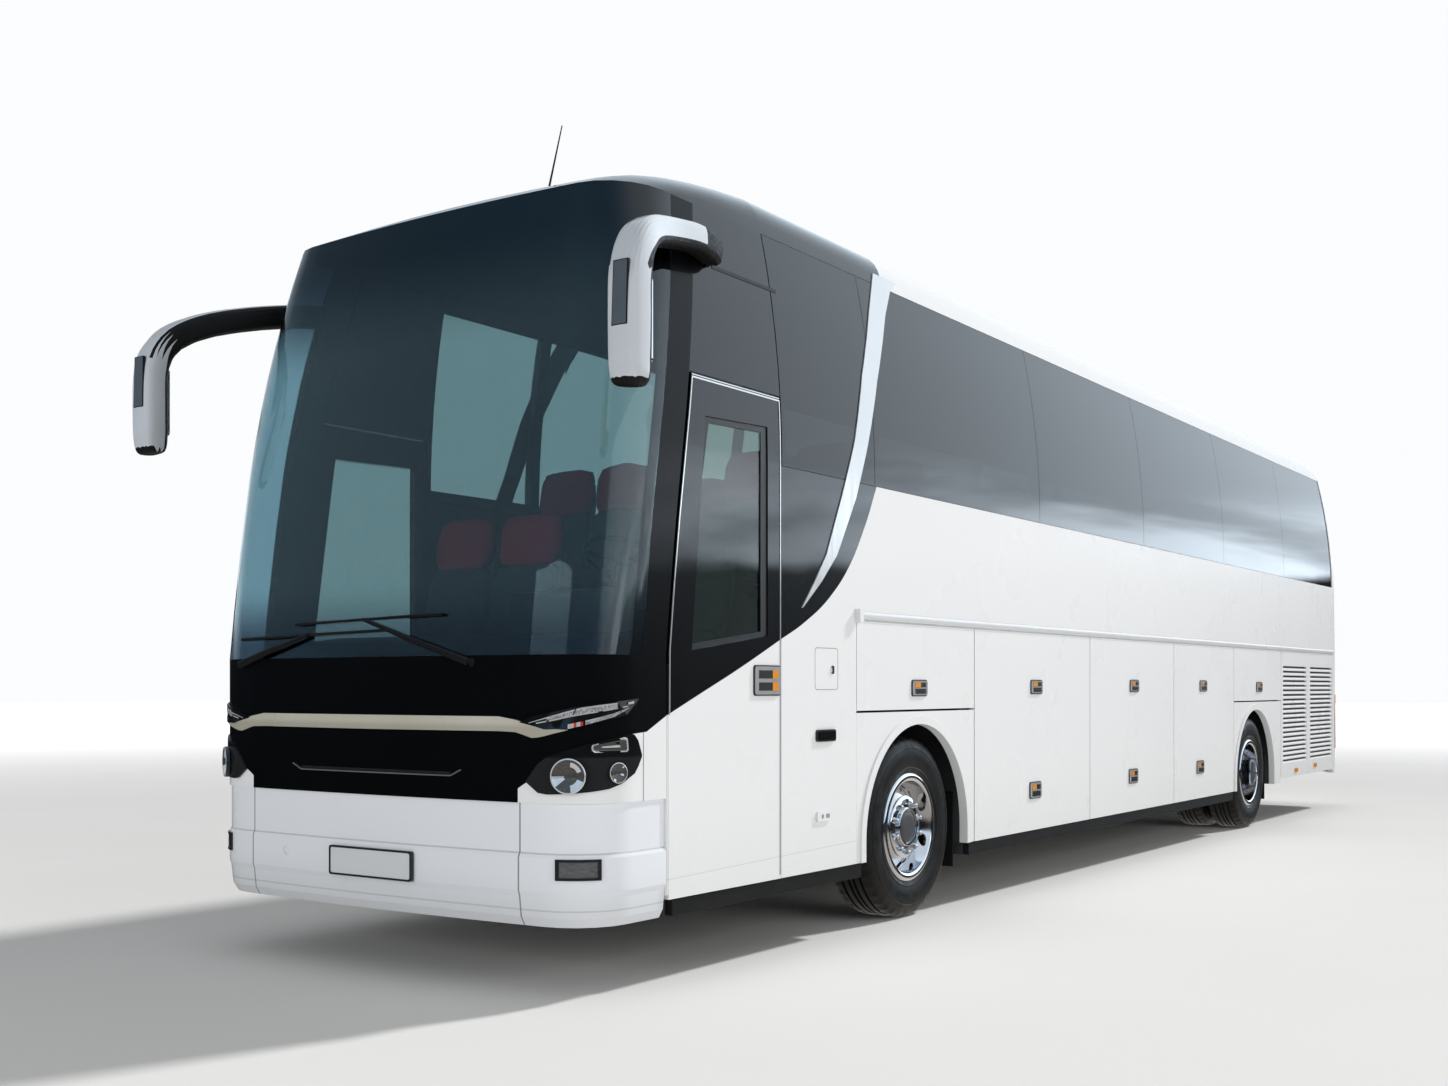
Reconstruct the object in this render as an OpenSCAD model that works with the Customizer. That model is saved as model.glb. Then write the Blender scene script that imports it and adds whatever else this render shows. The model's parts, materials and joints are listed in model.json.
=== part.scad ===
// Touring coach with two axles, a high saloon floor and luggage holds below it.
// The front faces -Y, the driver's side is +X and the road is at z = 0.
// Inside the modules y counts stations, from the foremost point of the nose to the tail.

/* [Body] */
// Width over the side panels
body_w = 2550; // [2500:10:2600]
// Height of the roof's crown above the road
body_h = 3890; // [3850:5:3930]
// Thickness of the side panels
panel_t = 45; // [40:1:50]
// Thickness of the roof and of the nose and tail panels
shell_t = 60; // [50:1:65]
// Thickness of the glass
glass_t = 8; // [6:1:12]
// Lower edge of the side panels
skirt_z = 380; // [360:5:390]
// Lower edge of the rubber skirts
rubber_z = 300; // [280:5:310]
// Underside of the belt rail, where the lids hang
rail_z = 1690; // [1670:5:1710]
// Height of the belt rail
rail_h = 55; // [50:1:70]
// How far the belt rail stands proud of the side
rail_proud = 12; // [8:1:16]
// Height of the side windows
window_h = 1180; // [1160:5:1200]
// Height from the top of the side windows and of the windscreen to the roof's crown
crown_rise = 270; // [260:5:290]
// Radius of the side's lean above the waist
side_r = 5600; // [5400:50:6000]
// Radius of the roof's edge
roof_edge_r = 200; // [180:5:220]
// Radius of the roof's crown
crown_r = 9000; // [8500:100:9500]

/* [Nose and tail] */
// Radius of the nose in plan
nose_r = 14000; // [12000:500:18000]
// Radius of the nose's corners in plan
nose_corner_r = 300; // [260:10:340]
// Station where the nose ends and the doors begin
nose_seam = 572; // [560:2:590]
// Radius of the tail in plan
tail_r = 12000; // [10000:500:16000]
// Radius of the tail's corners in plan
tail_corner_r = 250; // [200:10:280]
// Length of the tail, from its seam to the back
tail_seam = 353; // [340:1:370]
// Length of the front roof cap behind the nose's foremost point
front_cap_len = 1534; // [1500:2:1600]
// Length of the rear roof cap
rear_cap_len = 900; // [800:10:1000]
// Top edge of the front bumper
bumper_z = 835; // [820:5:850]
// Lower edge of the windscreen
screen_z = 1475; // [1460:5:1490]

/* [Doors and lids] */
// Station of the rear edge of the front doors
door_end = 1534; // [1520:2:1550]
// Distance from the eave down to the top edge of the front doors
door_drop = 840; // [820:5:860]
// Gap around each lid and door that moves
seam_gap = 6; // [5.5:0.1:7]
// Radius of the bead that each lid hangs on
bead_r = 6; // [5:0.5:7]
// Running clearance round the bead
bead_gap = 0.3; // [0.2:0.05:0.4]
// Split between a wheel-arch panel and the flap above it
flap_z = 1200; // [1190:2:1210]
// From the front edge of the front wheel-arch panel to the axle
arch_front = 722; // [710:2:740]
// From the front axle to the first luggage door
arch_back = 748; // [740:2:760]
// From the last luggage door to the rear axle
arch_ahead = 693; // [690:1:700]
// From the rear axle to the end of its wheel-arch panel
arch_tail = 906; // [890:2:920]
// Width of the middle plug door
plug_w = 880; // [820:10:900]

/* [Wheels] */
// Station of the front axle
front_axle_st = 3010; // [3000:2:3030]
// Distance between the axles
wheelbase = 6910; // [6890:5:6930]
// Distance from the rear axle to the back of the tail
rear_overhang = 3420; // [3400:5:3500]
// Outside diameter of the tyres
tyre_d = 1045; // [1030:1:1060]
// Width of the tyres
tyre_w = 295; // [285:1:300]
// Diameter of the rims under the tyres
rim_d = 572; // [560:2:580]
// Distance from the side panels in to the outer face of the tyres
tyre_inset = 45; // [35:1:60]
// Gap between the two tyres of a twin wheel
twin_gap = 40; // [30:1:60]
// Radius of the wheel-arch openings
arch_r = 630; // [620:2:640]
// Height of the centre of the wheel-arch openings
arch_z = 490; // [480:2:500]
// Distance from the middle to each kingpin
kingpin_x = 1000; // [990:2:1010]
// Radius of the kingpins
kingpin_r = 25; // [22:1:28]
// Radius of the wheel spindles
spindle_r = 50; // [45:1:55]
// Running clearance at pins and spindles
pin_gap = 0.3; // [0.2:0.05:0.5]

/* [Inside] */
// Top of the saloon floor
floor_z = 1550; // [1540:2:1560]
// Top of the driver's platform
platform_z = 1150; // [1130:5:1170]
// Thickness of the floors
floor_t = 40; // [30:1:50]
// Distance between the seat rows
seat_pitch = 780; // [760:5:800]
// Distance from the last row of seats to the tail's seam
seat_end = 450; // [420:5:500]
// Radius of the steering wheel
steering_r = 235; // [220:1:250]

/* [Fittings] */
// How far the mirrors reach ahead of the nose
mirror_reach = 150; // [140:2:170]
// Distance from the middle to each mirror head
mirror_x = 1578; // [1560:2:1600]
// Length of the aerial
aerial_len = 460; // [400:10:500]
// Radius of the threaded towing socket
tow_r = 21; // [18:0.5:24]

/* [Hidden] */
$fn = 48;
hw = body_w / 2;
body_len = front_axle_st + wheelbase + rear_overhang;
eave_z = body_h - crown_rise;
window_z = eave_z - window_h;
door_top = eave_z - door_drop;
nose_y = mirror_reach - (body_len + mirror_reach) / 2;
rear_axle_st = front_axle_st + wheelbase;
tyre_r = tyre_d / 2;
rim_r = rim_d / 2;
tail_st = body_len - tail_seam;
arch_start = front_axle_st - arch_front;
arch_end = rear_axle_st + arch_tail;
// Stations of the luggage doors' edges, as shares of the room between the wheel arches
hold_shares = [0, 0.3523, 0.6926, 1];
hold_from = front_axle_st + arch_back;
hold_to = rear_axle_st - arch_ahead;
holds = [for (f = hold_shares) round(hold_from + f * (hold_to - hold_from))];
plug_end = holds[2] + plug_w;
waist_z = rail_z + rail_h;
inner_x = hw - panel_t;
hinge_x = hw - bead_r;

// Sides [x, z] at height z, d inside the outer face
function side_angle(z) = z <= window_z ? 0 : asin((z - window_z) / side_r);
function side_pt(z, d) =
    z <= window_z ? [hw - d, z]
    : let (a = side_angle(z)) [hw - side_r + (side_r - d) * cos(a), window_z + (side_r - d) * sin(a)];
arc_steps = 7;
arc_rows = [for (i = [0 : arc_steps]) window_z + i * (eave_z - window_z) / arc_steps];
function rows_between(z1, z2) = concat([z1], [for (z = arc_rows) if (z > z1 + 1 && z < z2 - 1) z], [z2]);
function reversed(v) = [for (i = [len(v) - 1 : -1 : 0]) v[i]];
function strip(z1, z2, d1, d2) =
    let (zs = rows_between(z1, z2))
    concat([for (z = zs) side_pt(z, d1)], [for (z = reversed(zs)) side_pt(z, d2)]);

// Roof section, built from the side's arc, the edge's arc and the crown's arc
side_c = [hw - side_r, window_z];
crown_c = [0, body_h - crown_r];
edge_a = side_r - roof_edge_r;
edge_b = crown_r - roof_edge_r;
between = crown_c - side_c;
apart = norm(between);
along = (edge_a * edge_a - edge_b * edge_b + apart * apart) / (2 * apart);
off = sqrt(edge_a * edge_a - along * along);
edge_c = side_c + along * between / apart + off * [-between.y, between.x] / apart;
edge_from = atan2(edge_c.y - side_c.y, edge_c.x - side_c.x);
edge_to = atan2(edge_c.y - crown_c.y, edge_c.x - crown_c.x);
edge_steps = 6;
crown_steps = 4;
function roof_half(d) = concat(
    [for (i = [0 : crown_steps - 1])
        let (b = (90 - edge_to) * i / crown_steps) crown_c + (crown_r - d) * [sin(b), cos(b)]],
    [for (i = [0 : edge_steps])
        let (a = edge_to + (edge_from - edge_to) * i / edge_steps)
        edge_c + (roof_edge_r - d) * [cos(a), sin(a)]],
    [side_pt(eave_z, d)]);
function mirrored(v) = [for (p = v) [-p.x, p.y]];
function roof_arch(d) =
    let (h = roof_half(d))
    concat(reversed(mirrored(h)), [for (i = [1 : len(h) - 1]) h[i]]);

// Plan of an end: a shallow front arc (t 0 to 1), a corner (1 to 2) and a straight side (2 to 3)
NOSE = [nose_r, nose_corner_r, nose_seam];
TAIL = [tail_r, tail_corner_r, tail_seam];
function corner_s(e) = e[0] - sqrt(pow(e[0] - e[1], 2) - pow(hw - e[1], 2));
function corner_turn(e) = asin((hw - e[1]) / (e[0] - e[1]));
function plan(e, t, d) =
    let (p = corner_turn(e), s = corner_s(e))
    t <= 1 ? [(e[0] - d) * sin(p * t), e[0] - (e[0] - d) * cos(p * t)]
    : t <= 2 ? let (f = p + (90 - p) * (t - 1)) [hw - e[1] + (e[1] - d) * sin(f), s - (e[1] - d) * cos(f)]
    : [hw - d, s + (e[2] - s) * (t - 2)];
// How far the nose or tail leans back at height z
nose_lean = [0.10, 0.000035, screen_z];
tail_lean = [0.03, 0.00003, waist_z];
function lean(k, z) = let (h = max(0, z - k[2])) k[0] * h + k[1] * h * h;
function lean_slope(k, z) = k[0] + 2 * k[1] * max(0, z - k[2]);
function shell_pt(e, k, t, z, d) =
    let (q = plan(e, abs(t), d), w = side_pt(z, 0).x / hw)
    [sign(t) * q.x * w, q.y + lean(k, z), z];
function nose_pt(t, z, d) = shell_pt(NOSE, nose_lean, t, z, d);
function tail_pt(t, z, d) = shell_pt(TAIL, tail_lean, t, z, d);
// Columns of the shells, from the middle to the seam
t_bumper = 0.885;
t_glass = 2.27;
cols = [0, 0.3, 0.6, t_bumper, 1, 1.2, 1.4, 1.6, 1.8, 2, t_glass, 3];
function cols_between(a, b) =
    let (all = concat([for (t = reversed(cols)) if (t > 0) -t], cols))
    concat([a], [for (t = all) if (t > a + 0.001 && t < b - 0.001) t], [b]);
screen_rows = concat([for (i = [0 : 3]) screen_z + i * (window_z - screen_z) / 4], arc_rows);

// A closed shell from matching grids of outer and inner points, rows upward and columns to +X
module skin(outer, inner) {
    nr = len(outer);
    nc = len(outer[0]);
    n = nr * nc;
    points = concat([for (r = outer) each r], [for (r = inner) each r]);
    faces = concat(
        [for (i = [0 : nr - 2], j = [0 : nc - 2]) let (a = i * nc + j) each
            2 * j < nc - 1
            ? [[a, a + nc, a + nc + 1], [a, a + nc + 1, a + 1],
               [n + a, n + a + nc + 1, n + a + nc], [n + a, n + a + 1, n + a + nc + 1]]
            : [[a, a + nc, a + 1], [a + 1, a + nc, a + nc + 1],
               [n + a, n + a + 1, n + a + nc], [n + a + 1, n + a + nc + 1, n + a + nc]]],
        [for (j = [0 : nc - 2]) let (a = j, b = (nr - 1) * nc + j) each
            [[a, a + 1, n + a + 1], [a, n + a + 1, n + a], [b + 1, b, n + b], [b + 1, n + b, n + b + 1]]],
        [for (i = [0 : nr - 2]) let (a = i * nc, b = i * nc + nc - 1) each
            [[a + nc, a, n + a], [a + nc, n + a, n + a + nc],
             [b, b + nc, n + b + nc], [b, n + b + nc, n + b]]]);
    polyhedron(points, faces);
}

// Part of the nose between columns a and b; each row is [z, depth of the outer face]
module nose_skin(a, b, rows, d2) {
    ts = cols_between(a, b);
    skin([for (r = rows) [for (t = ts) nose_pt(t, r[0], r[1])]],
        [for (r = rows) [for (t = ts) nose_pt(t, r[0], d2)]]);
}

// Part of the tail, the same way, turned to face back
module tail_skin(a, b, rows, d2) {
    ts = cols_between(a, b);
    translate([0, body_len, 0]) mirror([0, 1, 0])
        skin([for (r = rows) [for (t = ts) tail_pt(t, r[0], r[1])]],
            [for (r = rows) [for (t = ts) tail_pt(t, r[0], d2)]]);
}
function flush(zs) = [for (z = zs) [z, 0]];

// A domed cap from the eave line of an end back to the roof's section; flat 0 is full, 1 a straight slope
cap_steps = 6;
front_flat = 0.5;
rear_flat = 0;
function cap_pt(e, k, i, sgn, s, len_, flat, d) =
    let (a = shell_pt(e, k, cols[i], eave_z, d), r = roof_half(d)[i],
        tip = [r.x, min(len_, a.y + lean_slope(k, eave_z) * (r.y - eave_z)), r.y], b = [r.x, len_, r.y],
        c = (1 - flat) * tip + flat * (a + b) / 2,
        p = (1 - s) * (1 - s) * a + 2 * s * (1 - s) * c + s * s * b)
    [sgn * p.x, p.y, i == len(cols) - 1 ? eave_z : p.z];
module cap(e, k, len_, flat) {
    m = len(cols) - 1;
    skin([for (j = [0 : cap_steps]) [for (i = [-m : m])
            cap_pt(e, k, abs(i), sign(i), j / cap_steps, len_, flat, 0)]],
        [for (j = [0 : cap_steps]) [for (i = [-m : m])
            cap_pt(e, k, abs(i), sign(i), j / cap_steps, len_, flat, shell_t)]]);
}

// A tube of rings along a path, each half-size [across, along]; with power 1 they are ovals, with less
// they are rounded boxes
function bowed(v, power) = sign(v) * pow(abs(v), power);
function ring_frame(path, i) =
    let (a = path[max(0, i - 1)], b = path[min(len(path) - 1, i + 1)], t = (b - a) / norm(b - a),
        e2 = cross(t, [1, 0, 0]), f2 = e2 / norm(e2))
    [cross(f2, t), f2];
module tube(path, half, sides, power = 1) {
    n = len(path);
    points = [for (i = [0 : n - 1]) let (f = ring_frame(path, i)) each
        [for (k = [0 : sides - 1]) let (a = 360 * k / sides)
            path[i] + half[i][0] * bowed(cos(a), power) * f[0] + half[i][1] * bowed(sin(a), power) * f[1]]];
    sides_faces = [for (i = [0 : n - 2], k = [0 : sides - 1])
        let (a = i * sides + k, b = i * sides + (k + 1) % sides) each
        [[a, a + sides, b + sides], [a, b + sides, b]]];
    ends = [for (k = [1 : sides - 2]) each
        [[0, k, k + 1], [(n - 1) * sides, (n - 1) * sides + k + 1, (n - 1) * sides + k]]];
    polyhedron(points, concat(sides_faces, ends));
}

// Stations are moved so that the origin is under the middle
module at_nose() { translate([0, nose_y, 0]) children(); }
module both() {
    children();
    mirror([1, 0, 0]) children();
}
module on_side(s) { mirror([s > 0 ? 0 : 1, 0, 0]) children(); }
// A box from its lowest and highest corners
module block(a, b) { translate(a) cube(b - a); }
// A prism along y between two stations from a section in x and z
module along_y(st1, st2, section) {
    translate([0, st2, 0]) rotate([90, 0, 0]) linear_extrude(st2 - st1) polygon(section);
}
// A prism along x between two places from an outline in station and z
module along_x(x1, x2) { translate([x1, 0, 0]) rotate([90, 0, 90]) linear_extrude(x2 - x1) children(); }

// Hinges
// A lid that hangs on a bead at its top edge, its outer face flush with the side
module lid(st1, st2, z0) {
    a = st1 + seam_gap;
    b = st2 - seam_gap;
    block([inner_x + bead_r, a, z0], [hw, b, rail_z - seam_gap]);
    bead(a, b);
}
module bead(a, b) {
    neck = bead_r * 0.7;
    block([hinge_x - neck, a, rail_z - seam_gap - 1], [hinge_x + neck, b, rail_z - 1]);
    translate([hinge_x, a, rail_z]) rotate([-90, 0, 0]) cylinder(r = bead_r, h = b - a);
}
// The quarter groove that wraps a bead, as [x, z] points round the hinge
groove_r = bead_r + bead_gap;
groove = [for (a = [180 : -15 : 90]) [hinge_x, rail_z] + groove_r * [cos(a), sin(a)]];
lip_z = rail_z + 2 * bead_r;

// Seam line between the nose and what follows, [station, z]
function nose_line(z1, z2, gap) =
    [for (z = concat([z1], [for (r = screen_rows) if (r > z1 + 1 && r < z2 - 1) r], [z2]))
        [nose_seam + lean(nose_lean, z) + gap, z]];
function tail_line(z1, z2) =
    [for (z = concat([z1], [for (r = arc_rows) if (r > z1 + 1 && r < z2 - 1) r], [z2]))
        [tail_st - seat_clear - lean(tail_lean, z), z]];
// A curved side panel: the side's section between two depths, kept inside an outline
module side_panel(z1, z2, d1, d2, outline) {
    intersection() {
        along_y(0, body_len, strip(z1, z2, d1, d2));
        along_x(hw - 4 * panel_t - 100, hw + panel_t) polygon(outline);
    }
}

/* Root: frame and floors */
rail_in = 300;
rail_out = 420;
frame_z = 900;
frame_h = 100;
sill_in = 1150;
sill_out = 1226;
hold_floor_z = 440;
hold_wall = 1180;
bulkhead_t = 40;
house_in = 540;
house_t = 10;
house_top = 1190;
house_len = 640;
axle_slot = 25;
bracket_at = 400;
riser_st = 1850;
engine_from = arch_end + 324;
engine_to = tail_st - 237;
engine_w = 900;
engine_z = 520;
engine_h = 900;
cradle_z = 430;
frame_end = tail_st - 87;

module underframe() color("dimgray") at_nose() {
    hold_a = holds[0] - 60;
    hold_b = holds[3] + 4;
    deck_under = floor_z - floor_t;
    // Front sills, the cross-walls below the platform and the long rails over the axles
    both() block([sill_in, nose_seam + 40, rubber_z], [sill_out, front_axle_st - house_len, skirt_z - 8]);
    for (st = [nose_seam + 40, front_axle_st - house_len - bulkhead_t])
        block([-sill_in, st, rubber_z], [sill_in, st + bulkhead_t, platform_z - floor_t]);
    both() block([rail_in, front_axle_st - house_len, frame_z], [rail_out, hold_a, frame_z + frame_h]);
    // Brackets from the long rails out to the wheel housings
    both() for (st = [front_axle_st, rear_axle_st], o = [-bracket_at, bracket_at])
        block([rail_out, st + o - bulkhead_t, frame_z], [house_in, st + o + bulkhead_t, frame_z + frame_h]);
    // Luggage hold: floor, side flanges and bulkheads
    block([-sill_out, hold_a, hold_floor_z - floor_t], [sill_out, hold_b, hold_floor_z]);
    both() block([sill_in, hold_a, rubber_z], [sill_out, hold_b, hold_floor_z - floor_t]);
    for (st = [hold_a, hold_b - bulkhead_t])
        block([-hold_wall, st, hold_floor_z], [hold_wall, st + bulkhead_t, deck_under]);
    // Rear rails, the engine cradle and the walls that carry them
    both() block([rail_in, hold_b, frame_z], [rail_out, arch_end - bulkhead_t, frame_z + frame_h]);
    for (st = [arch_end - bulkhead_t, frame_end])
        block([-hold_wall, st, cradle_z], [hold_wall, st + bulkhead_t, deck_under]);
    both() block([rail_in, arch_end, cradle_z], [rail_out, frame_end, engine_z]);
    both() block([sill_in, arch_end, cradle_z], [hold_wall, frame_end, engine_z]);
}

module wheel_housings() color("#2a2a2a") at_nose() both()
    for (h = [[front_axle_st, beam_h / 2], [rear_axle_st, axle_r]])
        difference() {
            block([house_in, h[0] - house_len, skirt_z], [inner_x, h[0] + house_len, house_top]);
            block([house_in + house_t, h[0] - house_len + house_t, skirt_z - 1],
                [inner_x + 1, h[0] + house_len - house_t, house_top - house_t]);
            block([house_in - 1, h[0] - h[1] - axle_slot, skirt_z - 1],
                [house_in + house_t + 1, h[0] + h[1] + axle_slot, tyre_r + h[1] + axle_slot]);
        }

steps_from = nose_seam + 60;
steps_to = 1290;
step_x = [sill_out, 900, 600, 300];
module floor_deck() color("#3a3c40") at_nose() {
    platform_a = 300;
    platform_b = front_axle_st - house_len;
    block([-sill_out, riser_st, floor_z - floor_t], [sill_out, frame_end + bulkhead_t, floor_z]);
    block([-sill_out, riser_st, platform_z], [sill_out, riser_st + bulkhead_t, floor_z - floor_t]);
    block([-step_x[3], platform_a, platform_z - floor_t], [sill_in, platform_b, platform_z]);
    block([-sill_in, steps_to, platform_z - floor_t], [-step_x[3], platform_b, platform_z]);
    rise = (platform_z - skirt_z) / 3;
    // Entrance steps, each one a tread with its riser
    for (i = [0 : 2]) {
        low = skirt_z + i * rise;
        high = i < 2 ? low + rise : platform_z - floor_t;
        inner = -step_x[i + 1];
        along_y(steps_from + 40, steps_to,
            [[-step_x[i], low], [inner + floor_t, low], [inner + floor_t, high],
            [inner, high], [inner, low + floor_t], [-step_x[i], low + floor_t]]);
    }
}

module engine() color("#55585c") at_nose()
    block([-engine_w / 2, engine_from, engine_z], [engine_w / 2, engine_to, engine_z + engine_h]);

// Axles
eye_r = 55;
eye_h = 150;
beam_h = 110;
bellows_r = 100;
module front_axle() color("#3c3f43") at_nose() translate([0, front_axle_st, 0]) {
    difference() {
        union() {
            block([-kingpin_x, -45, tyre_r - beam_h / 2], [kingpin_x, 45, tyre_r + beam_h / 2]);
            both() translate([kingpin_x, 0, tyre_r - eye_h / 2]) cylinder(r = eye_r, h = eye_h);
            both() translate([(rail_in + rail_out) / 2, 0, tyre_r])
                cylinder(r = bellows_r, h = frame_z - tyre_r);
        }
        both() translate([kingpin_x, 0, 0]) cylinder(r = kingpin_r + pin_gap, h = 2 * tyre_r);
    }
}

twin_in = hw - tyre_inset - 2 * tyre_w - twin_gap;
rear_hub_x = twin_in + tyre_w + twin_gap / 2;
axle_r = 80;
diff_r = 230;
module rear_axle() color("#3c3f43") at_nose() translate([0, rear_axle_st, tyre_r]) {
    both() rotate([0, 90, 0]) cylinder(r = axle_r, h = twin_in - 30);
    both() rotate([0, 90, 0]) cylinder(r = spindle_r, h = rear_hub_x + 60);
    rotate([0, 90, 0]) cylinder(r = diff_r, h = 2 * 170, center = true);
    both() translate([(rail_in + rail_out) / 2, 0, 0]) cylinder(r = bellows_r, h = frame_z - tyre_r);
}

// Knuckle on the left: kingpin, yoke and spindle; the right one mirrors it
yoke_h = 40;
yoke_x = kingpin_x + eye_r + 10;
hub_x = hw - tyre_inset - tyre_w / 2;
module knuckle(s) color("#44474b") at_nose() on_side(s) translate([0, front_axle_st, tyre_r]) {
    top = eye_h / 2 + 6 + yoke_h;
    translate([kingpin_x, 0, -top]) cylinder(r = kingpin_r, h = 2 * top);
    for (z = [-top, top - yoke_h])
        block([kingpin_x - 40, -45, z], [yoke_x + 30, 45, z + yoke_h]);
    block([yoke_x, -60, -top], [yoke_x + 30, 60, top]);
    translate([yoke_x, 0, 0]) rotate([0, 90, 0]) cylinder(r = spindle_r, h = hub_x + 110 - yoke_x);
}

// Tyre section about the wheel's axis, [radius, place along the axle]
tread_edge = 28;
bead_w = tyre_w / 2 - 25;
module tyre_ring() {
    side = tyre_w / 2;
    rotate_extrude($fn = 72) polygon([[rim_r + pin_gap, -bead_w], [rim_r + 40, -bead_w - 8],
        [(rim_r + tyre_r) / 2, -side], [tyre_r - 2 * tread_edge, -side + 4],
        [tyre_r - 6, -side + tread_edge],
        [tyre_r, -side + 2 * tread_edge], [tyre_r, side - 2 * tread_edge], [tyre_r - 6, side - tread_edge],
        [tyre_r - 2 * tread_edge, side - 4], [(rim_r + tyre_r) / 2, side], [rim_r + 40, bead_w + 8],
        [rim_r + pin_gap, bead_w]]);
}
module wheel_at(st, x) { translate([x, st, tyre_r]) rotate([0, 90, 0]) children(); }
module tyre_front(s) color("#1b1b1c") at_nose() on_side(s) wheel_at(front_axle_st, hub_x) tyre_ring();
module tyres_rear(s) color("#1b1b1c") at_nose() on_side(s) {
    wheel_at(rear_axle_st, hub_x) tyre_ring();
    wheel_at(rear_axle_st, twin_in + tyre_w / 2) tyre_ring();
}

// Rim section: barrel and flanges, then the disc; dish is the place of the disc's middle
barrel_t = 18;
flange = 20;
hand_holes = 10;
module rim(dish, hub_from, hub_to, hub_r) {
    foot = dish > 0 ? dish - 70 : -bead_w - 10;
    difference() {
        rotate_extrude($fn = 72) {
            polygon([[rim_r - barrel_t, -bead_w - 12], [rim_r + flange, -bead_w - 12],
                [rim_r + flange, -bead_w - 5],
                [rim_r, -bead_w - 0.5], [rim_r, bead_w + 0.5], [rim_r + flange, bead_w + 5],
                [rim_r + flange, bead_w + 12], [rim_r - barrel_t, bead_w + 12]]);
            polygon([[spindle_r + pin_gap, dish], [hub_r + 60, dish], [rim_r - barrel_t + 1, foot],
                [rim_r - barrel_t + 1, foot + 16], [hub_r + 60, dish + 16],
                [spindle_r + pin_gap, dish + 16]]);
            polygon([[spindle_r + pin_gap, hub_from], [hub_r, hub_from], [hub_r, hub_to],
                [spindle_r + pin_gap, hub_to]]);
        }
        for (i = [0 : hand_holes - 1]) rotate([0, 0, i * 360 / hand_holes])
            translate([rim_r - 60, 0, foot - 20]) cylinder(r = 24, h = 120);
    }
}
module wheel_front(s) color("silver") at_nose() on_side(s)
    wheel_at(front_axle_st, hub_x) rim(90, 40, 120, 105);
module wheel_rear(s) color("silver") at_nose() on_side(s) {
    wheel_at(rear_axle_st, hub_x) rim(-tyre_w / 2 - twin_gap / 2, -tyre_w / 2 - twin_gap / 2, 20, 120);
    mirror([1, 0, 0]) wheel_at(rear_axle_st, -twin_in - tyre_w / 2)
        rim(-tyre_w / 2 - twin_gap / 2, -tyre_w / 2 - twin_gap / 2, -60, 120);
}

/* Root: shell */
module roof() color("white") at_nose()
    along_y(front_cap_len, body_len - rear_cap_len, concat(roof_arch(0), reversed(roof_arch(shell_t))));
module front_cap() color("#101114") at_nose() cap(NOSE, nose_lean, front_cap_len, front_flat);
module rear_cap() color("white") at_nose() translate([0, body_len, 0]) mirror([0, 1, 0])
    cap(TAIL, tail_lean, rear_cap_len, rear_flat);

module windscreen() color("#24424b") at_nose() nose_skin(-t_glass, t_glass, flush(screen_rows), glass_t);

module front_corners() color("#101114") at_nose() {
    for (s = [0, 1]) {
        from = s == 0 ? t_glass : -3;
        to = s == 0 ? 3 : -t_glass;
        nose_skin(from, to, flush(screen_rows), shell_t);
        nose_skin(s == 0 ? t_bumper : -3, s == 0 ? 3 : -t_bumper, flush([bumper_z, screen_z]), shell_t);
    }
    door_post();
}
// Upright strip that carries the driver's door on its bead
post_st = nose_seam + 2 * bead_r + 2;
bead_from = skirt_z + 20;
bead_to = screen_z - 35;
module door_post() {
    g = [for (p = groove) [p.x, post_st - (p.y - rail_z)]];
    translate([0, 0, bead_from]) linear_extrude(bead_to - bead_from)
        polygon(concat([[inner_x, nose_seam], [hw, nose_seam], [hw, post_st - 2 * bead_r],
            [hinge_x, post_st - 2 * bead_r]], reversed(g), [[inner_x, post_st]]));
}
module front_mask() color("#0c0d0f") at_nose()
    nose_skin(-t_bumper, t_bumper, flush([bumper_z, screen_z]), shell_t);

bumper_rows = [[rubber_z, 40], [rubber_z + 40, 18], [430, 8], [455, 0], [600, 0], [622, 10],
    [bumper_z, 10]];
module front_bumper() color("white") at_nose() difference() {
    nose_skin(-3, 3, bumper_rows, shell_t);
    translate([tow_x, -shell_t, tow_z]) rotate([-90, 0, 0]) cylinder(r = tow_r, h = 5 * shell_t);
}
tow_x = -620;
tow_z = 540;

// A band that lies on the nose's facets; each row of the table is [column, low edge, high edge]
function facet_pt(t, z, d) =
    let (k = [for (i = [0 : len(cols) - 2]) if (abs(t) >= cols[i] && abs(t) < cols[i + 1]) i][0],
        f = (abs(t) - cols[k]) / (cols[k + 1] - cols[k]),
        q = (1 - f) * nose_pt(cols[k], z, d) + f * nose_pt(cols[k + 1], z, d))
    [t < 0 ? -q.x : q.x, q.y, q.z];
module band(table, proud) {
    signed = concat([for (t = cols) -t], cols);
    inner = [for (t = signed) if (t > table[0][0] && t < table[len(table) - 1][0]) t];
    ts = distinct(sorted(concat([for (r = table) r[0]], inner)));
    edges = [for (e = [1, 2]) [for (t = ts) lookup(t, [for (r = table) [r[0], r[e]]])]];
    n = len(ts) - 1;
    skin([for (z = edges) [for (i = [0 : n]) facet_pt(ts[i], z[i], -proud)]],
        [for (z = edges) [for (i = [0 : n]) facet_pt(ts[i], z[i], -seat_clear)]]);
}
function far_side(table) = [for (r = reversed(table)) if (r[0] > 0) [-r[0], r[1], r[2]]];
function sorted(v) = len(v) < 2 ? v
    : let (m = v[0]) concat(sorted([for (x = v) if (x < m) x]), [for (x = v) if (x == m) x],
        sorted([for (x = v) if (x > m) x]));
function distinct(v) = [for (i = [0 : len(v) - 1]) if (i == 0 || v[i] > v[i - 1] + 0.001) v[i]];

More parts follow.
